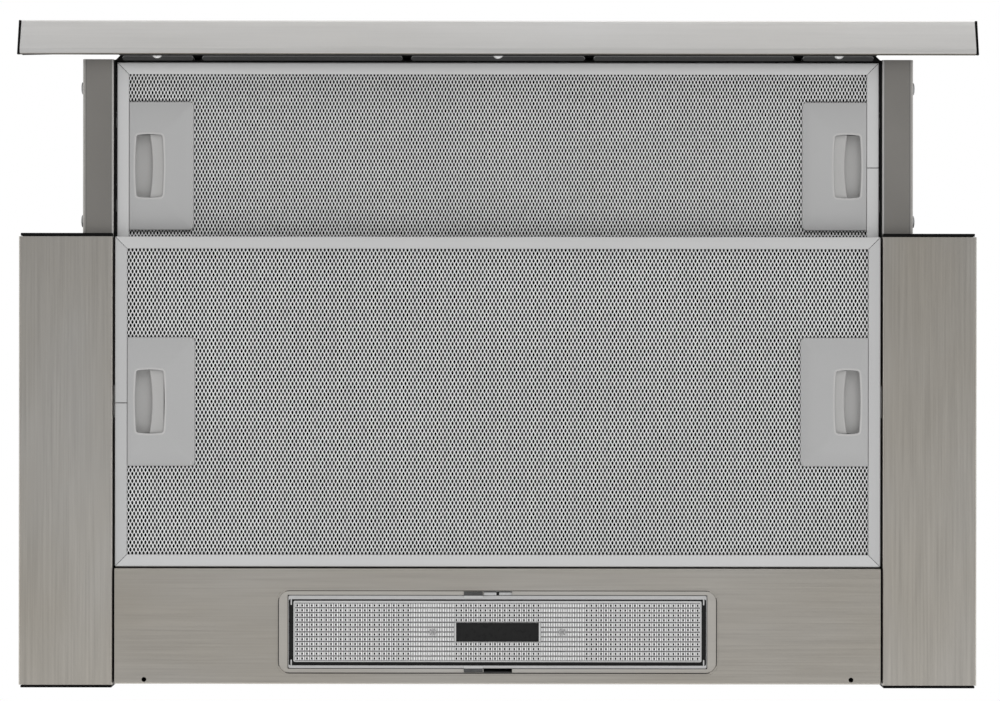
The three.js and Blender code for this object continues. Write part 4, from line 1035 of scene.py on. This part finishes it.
# drawer's front bar
# The moulded frame keeps its solid, with shallow panels let into the bar's underside between the slots.
barShape = {
    "panelDeep": 0.4, "panelGap": 0.2, "corner": 1.6, "edge": 0.5, "ends": 236.6, "endFront": 2.6,
    "filterGap": 0.7, "front": 3.4, "rear": 0.15,  # bar's rear face from the filter, panels from that face
    "slots": (-187.7, -57.0, 57.0, 187.7), "slotFront": 3.4, "slotRear": 1.5, "shadedRear": 0.6,
    "webHalf": 3.5, "webY": (-4.2, -2.3), "webZ": (2.1, 6),
}
low, high = box("drawer_frame")
s = barShape
barRear = box("front_filter_frame")[0][1] - s["filterGap"]
frontY, rearY = barRear - s["front"], barRear - s["rear"]
edges = [-s["ends"], *s["slots"], s["ends"]]
pockets, panels = [], []
for k, (start, end) in enumerate(zip(edges, edges[1:])):
    atStart = (s["slotFront"], s["slotRear"]) if k else (s["endFront"], 0)
    atEnd = (s["slotFront"], s["slotRear"]) if end < s["ends"] else (s["endFront"], 0)
    outline = np.array([(start + atStart[0], frontY), (end - atEnd[0], frontY),
                        (end - atEnd[1], rearY), (start + atStart[1], rearY)])
    centre = outline.mean(0)

    def panelLoop(inset, z):
        # the panel's outline, scaled about its middle so that it is drawn in by the inset
        shape = rounded(outline, [max(0.2, 0.5 - inset)] * 2 + [s["corner"] - inset] * 2)
        half = (outline.max(0) - outline.min(0)) / 2
        return atHeight(centre + (shape - centre) * (1 - inset / half), low[2] + z)

    pockets.append(lofted([panelLoop(-s["panelGap"], z) for z in (-1, s["panelDeep"])]))
    panels.append(lofted([panelLoop(0, s["panelDeep"] + 0.1), panelLoop(0, s["edge"]), panelLoop(0.1, 0.04),
                          panelLoop(s["edge"], 0.02), panelLoop(s["edge"] + 0.1, 0.12)]))
source = partOf(frame["nodes"]["drawer_frame"].data)
solid = cut(meshOf("drawer_frame_copy", source), "drawer_moulding", pockets)
# webs close the slots where they cut through the shelf behind the fascia
webs = [block((x - s["webHalf"], x + s["webHalf"]), barRear + np.array(s["webY"]),
              low[2] + np.array(s["webZ"])) for x in s["slots"]]
makePiece("drawer_moulding", joined(partOf(solid), *webs), "blackPlastic", "drawer_frame", edge=0.2)
inlay = makePiece("drawer_bar_panels", joined(*panels), "edgePlastic", "drawer_frame", angle=30)
_, y, z = facesOf(inlay)
# painted light: the panels' rims take the lighter edge plastic as a painted highlight, left dark grey along
# the rear as painted shade; their faces take the dark grey, lighter than the moulding, a painted sheen
coat(inlay, "barPlastic", (z > low[2] + 0.1) | (y > rearY - s["shadedRear"]))


# filter hooks
# Short sheet hooks and pins beside the front filter, seen in the gap between it and the rails.
hookShape = {
    "out": (0.25, 0.75), "high": (0.4, 3.0),
    "hooks": ((34.6, 41.0), (86.0, 93.5), (31.1, 31.9), (76.2, 77.0)),
}
low, high = box("front_filter_frame")
s = hookShape
makePiece("filter_hooks", joined(*(
    block(sorted(side * (high[0] + np.array(s["out"]))), (low[1] + start, low[1] + end),
          low[2] + np.array(s["high"])) for side in (left, right) for start, end in s["hooks"])),
    "greyHousing", "drawer_frame", angle=30, beside=True)


# fascia screws
screwShape = {
    "flat": 0.45, "shoulder": 0.75, "head": 2.4, "shank": 1.5, "recess": (4.6, 1.1), "deep": 1.3,
    "wider": 0.5, "turns": {"left": 20, "centre": -35, "right": 52},
}
s = screwShape
for word, turn in s["turns"].items():
    low, high = box(f"fascia_screw_{word}")
    centre = (low + high) / 2
    radius = (high[0] - low[0]) / 2 + s["wider"]
    # pan head: a flat crown, then a quarter of an ellipse out to the rim
    t = np.linspace(0, np.pi / 2, 9)
    crown = np.column_stack([radius * (s["flat"] + (1 - s["flat"]) * np.sin(t)),
                             low[2] + s["shoulder"] * s["head"] * (1 - np.cos(t))])
    under = low[2] + s["head"]
    profile = np.vstack([[(0, low[2])], crown, [(radius, under), (s["shank"], under),
                                                (s["shank"], high[2]), (0, high[2])]])
    cross = []
    for angle in np.radians([turn, turn + 90]):
        turned = np.array([(np.cos(angle), np.sin(angle)), (-np.sin(angle), np.cos(angle))])
        bar = np.array([(-1, -1), (1, -1), (1, 1), (-1, 1)]) / 2 * s["recess"]
        cross.append(slab(centre[:2] + bar @ turned, (low[2] - 1, low[2] + s["deep"])))
    makePiece(f"pan_screw_{word}", revolved(profile, 2, (*centre[:2], 0), 48), "screwSteel",
              f"fascia_screw_{word}", edge=0.06, angle=40, cutters=cross)
print("lens, front bar, screws")


# outlet
outletShape = {
    "wall": 2.0, "ledge": 2.5, "fillet": 0.5, "beadDown": 7.0, "beadTall": 1.2, "beadDeep": 0.5,
    "sillGap": 0.3, "screws": 6, "screwCircle": 66.2, "firstScrew": 0.5,
    "head": 3.0, "headFlat": 1.4, "headRise": 1.5, "foot": -0.2,
}
s = outletShape
low, high = box("outlet_ring")
centre = (low + high) / 2
collarLow, collarHigh = box("outlet_collar")
outer = (collarHigh[0] - collarLow[0]) / 2
bore = outer - s["wall"]
profile = rounded([(bore - s["ledge"], low[2]), ((high[0] - low[0]) / 2, low[2]),
                   ((high[0] - low[0]) / 2, high[2]), (bore - s["ledge"], high[2])],
                  [0.1, 0.3, s["fillet"], 0.3], 4)
crown = ellipse(np.linspace(0, np.pi / 2, 6), s["headRise"], s["head"] - s["headFlat"])[::-1, ::-1]
head = np.vstack([[(0, s["foot"]), (s["head"], s["foot"])], crown + [s["headFlat"], 0],
                  [(0, s["headRise"])]])
heads = []
for angle in np.arange(s["screws"]) * 2 * np.pi / s["screws"] + s["firstScrew"]:
    at = centre[:2] + s["screwCircle"] * ellipse(angle, 1, 1)
    heads.append(revolved(head, 2, (*at, high[2]), 20))
ring = makePiece("outlet_flange", joined(revolved(profile, 2, (*centre[:2], 0), 144, True), *heads),
                 "ductPlastic", "outlet_ring", angle=40)
coat(ring, "screwSteel", facesOf(ring)[2] > high[2] + 0.02)
top, sill = collarHigh[2], box("flap_front")[0][2] - s["sillGap"]
bead = top - s["beadDown"]
profile = rounded([
    (bore - s["ledge"], collarLow[2]), (outer, collarLow[2]), (outer, bead - s["beadTall"]),
    (outer - s["beadDeep"], bead - s["beadTall"] / 2), (outer, bead), (outer, top), (bore, top),
    (bore, sill), (bore - s["ledge"], sill)], [0.3, 0.3, 0.4, 0.6, 0.4, 0.9, 0.6, 0.6, 0.5])
makePiece("outlet_socket", revolved(profile, 2, (*((collarLow + collarHigh) / 2)[:2], 0), 144, True),
          "ductPlastic", "outlet_collar", angle=40)


# casing's seams
# Spot welds and pop rivets along the folded sheet's edges, standing on the kept casing.
seamShape = {
    "inset": 9, "weld": (2.6, 0.12), "rivet": (2.4, 0.9), "foot": -0.3,
    # start from the low side, end from the high side, pitch
    "along": (16, 10, 42), "up": (50, 5, 36), "across": (24, 20, 68.3), "weldUp": 44,
}
low, high = box("casing")
s = seamShape
marks = []


def mark(at, axis, side, sizes):
    # a button that stands out along the axis to one side
    marks.append(revolved(dome(*sizes, s["foot"], 6) * [1, side], axis, at, 18))


def places(axis, start, end, pitch):
    # a pitch apart along an axis of the casing
    return np.arange(low[axis] + start, high[axis] - end, pitch)


for side in (left, right):
    for z in (low[2] + s["weldUp"], high[2] - s["inset"]):
        for y in places(1, *s["along"]):
            mark((side * high[0], y, z), 0, side, s["weld"])
    for y, way in ((low[1], left), (high[1], right)):
        for z in places(2, *s["up"]):
            mark((side * (high[0] - s["inset"]), y, z), 1, way, s["rivet"])
for x in places(0, *s["across"]):
    for y in (low[1] + s["inset"], high[1] - s["inset"]):
        mark((x, y, high[2]), 2, right, s["rivet"])
makePiece("casing_seam_marks", joined(*marks), "casingPaint", "casing", angle=50, beside=True)
print("outlet, casing seams")


# nodes that keep their solids
kept = {  # finish, then each node's width of edge
    "casingPaint": {"casing": 0.8, "drawer_top_cover": 0.2},
    "zincSheet": {"rail_guide_left": 0.2, "rail_guide_right": 0.2, "motor": 0.3},
    "blackPlastic": {
        "front_cap_left": 0.35, "front_cap_right": 0.35, "rear_cap_left": 0.35, "rear_cap_right": 0.35,
        "fascia_cap_left": 0.3, "fascia_cap_right": 0.3, "impeller": 0.1, "flap_front": 0.15,
        "flap_rear": 0.15, "cable_gland": 0.3, "light_switch_knob": 0.15, "speed_switch_knob": 0.15,
        "drawer_switch": 0.25},
    "whitePlastic": {
        "lamp_holder_left": 0.3, "lamp_holder_right": 0.3, "bulb_left": 0.1, "bulb_right": 0.1,
        "terminal_box": 0.5, "capacitor": 0.3, "drawer_switch_plunger": 0.15},
    "greyHousing": {"blower_scroll": 0.3, "blower_inlet_plate": 0.3, "light_switch_body": 0.25,
                    "speed_switch_body": 0.25},
    "barPlastic": {"lamp_tray": 0.3}, "screwSteel": {"flap_spindle": 0.1},
    "coreAluminium": {"front_filter_core": 0.3, "rear_filter_core": 0.3},
}
flatSheets = ("casing", "drawer_top_cover")  # wide flat sides around holes, shaded face by face
for finish, nodes in kept.items():
    for name, edge in nodes.items():
        keepNode(name, finish, edge, name not in flatSheets)
# painted shade: the lamp tray keeps a dark grey for the shade inside behind the lens, except its front half,
# which is zinc sheet
tray = frame["nodes"]["lamp_tray"]
coat(tray, "zincSheet", facesOf(tray)[1] < lampY)


# stage
stage = {
    "floorBelow": 800, "floorRadius": 7000, "floorLevel": 0.8, "fadeFrom": 1.5,  # the fade in metres
    "worldLight": 0.62,
    "lamps": {  # place, size and power; all look at the hood
        "below_front": ((0.4, -1.9, -1.9), 2.4, 24.6), "below_rear": ((0.3, 1.7, -2.2), 2.4, 17.6),
        "front": ((1.2, -2.6, 1.6), 3.4, 11), "back": ((-1.6, 1.8, 2.4), 3.4, 24),
        "left": ((-3.75, 0, -0.75), 2.4, 27), "right": ((3.75, 0, -0.75), 2.4, 27),
        "level_front": ((0, -3.9, -0.75), 2.4, 14.5), "level_rear": ((0, 3.9, -0.75), 2.4, 22.5),
    },
}


def larger(tree, first, second):
    # the larger of two values
    return node(tree, "ShaderNodeMath", {0: first, 1: second}, operation="MAXIMUM").outputs[0]


def worldLight():
    # white where it is seen, mirrored or looked at through glass, and a soft light for the rest
    world = bpy.data.worlds.new("studio")
    tree = treeOf(world)
    bpy.context.scene.world = world
    path = node(tree, "ShaderNodeLightPath").outputs
    shown = larger(tree, path["Is Camera Ray"], path["Is Glossy Ray"])
    shown = larger(tree, shown, path["Is Transmission Ray"])
    strength = between(tree, shown, stage["worldLight"], 1.0, 0.0, 1.0)
    background = node(tree, "ShaderNodeBackground", {"Color": (1, 1, 1, 1), "Strength": strength})
    node(tree, "ShaderNodeOutputWorld", {"Surface": background.outputs[0]})


def floorDisc():
    # a pale disc that is only there from above, and that fades into the background at its rim
    steps, radius = 96, stage["floorRadius"]
    rim = ellipse(np.linspace(0, 2 * np.pi, steps, endpoint=False), radius, radius)
    mesh = bpy.data.meshes.new("floor")
    mesh.from_pydata(atHeight(rim, box("fascia")[0][2] - stage["floorBelow"]) * mm, [], [list(range(steps))])
    disc = linked("floor", mesh)
    material = bpy.data.materials.new("floor")
    tree = treeOf(material)
    through = larger(tree, node(tree, "ShaderNodeLightPath").outputs["Is Shadow Ray"],
                     node(tree, "ShaderNodeNewGeometry").outputs["Backfacing"])
    place = node(tree, "ShaderNodeTexCoord").outputs["Object"]
    far = node(tree, "ShaderNodeVectorMath", {0: place}, operation="LENGTH").outputs["Value"]
    fade = between(tree, far, 0, 1, stage["fadeFrom"], radius * mm)
    pale = node(tree, "ShaderNodeBsdfDiffuse", {"Color": (stage["floorLevel"],) * 3 + (1,)}).outputs[0]
    clear = node(tree, "ShaderNodeBsdfTransparent").outputs[0]
    shown = node(tree, "ShaderNodeMixShader", {0: larger(tree, through, fade), 1: pale, 2: clear})
    node(tree, "ShaderNodeOutputMaterial", {"Surface": shown.outputs[0]})
    mesh.materials.append(material)


worldLight()
floorDisc()
for name, (place, size, power) in stage["lamps"].items():
    light = bpy.data.lights.new("lamp_" + name, "AREA")
    light.shape, light.size, light.energy = "DISK", size, power
    lamp = linked("lamp_" + name, light)
    lamp.location = place
    lamp.visible_camera = False
    lamp.rotation_euler = (-Vector(place)).to_track_quat("-Z", "Y").to_euler()
bpy.context.scene.view_settings.view_transform = "Standard"
print("stage: floor, world and", len(bpy.data.lights), "lamps")
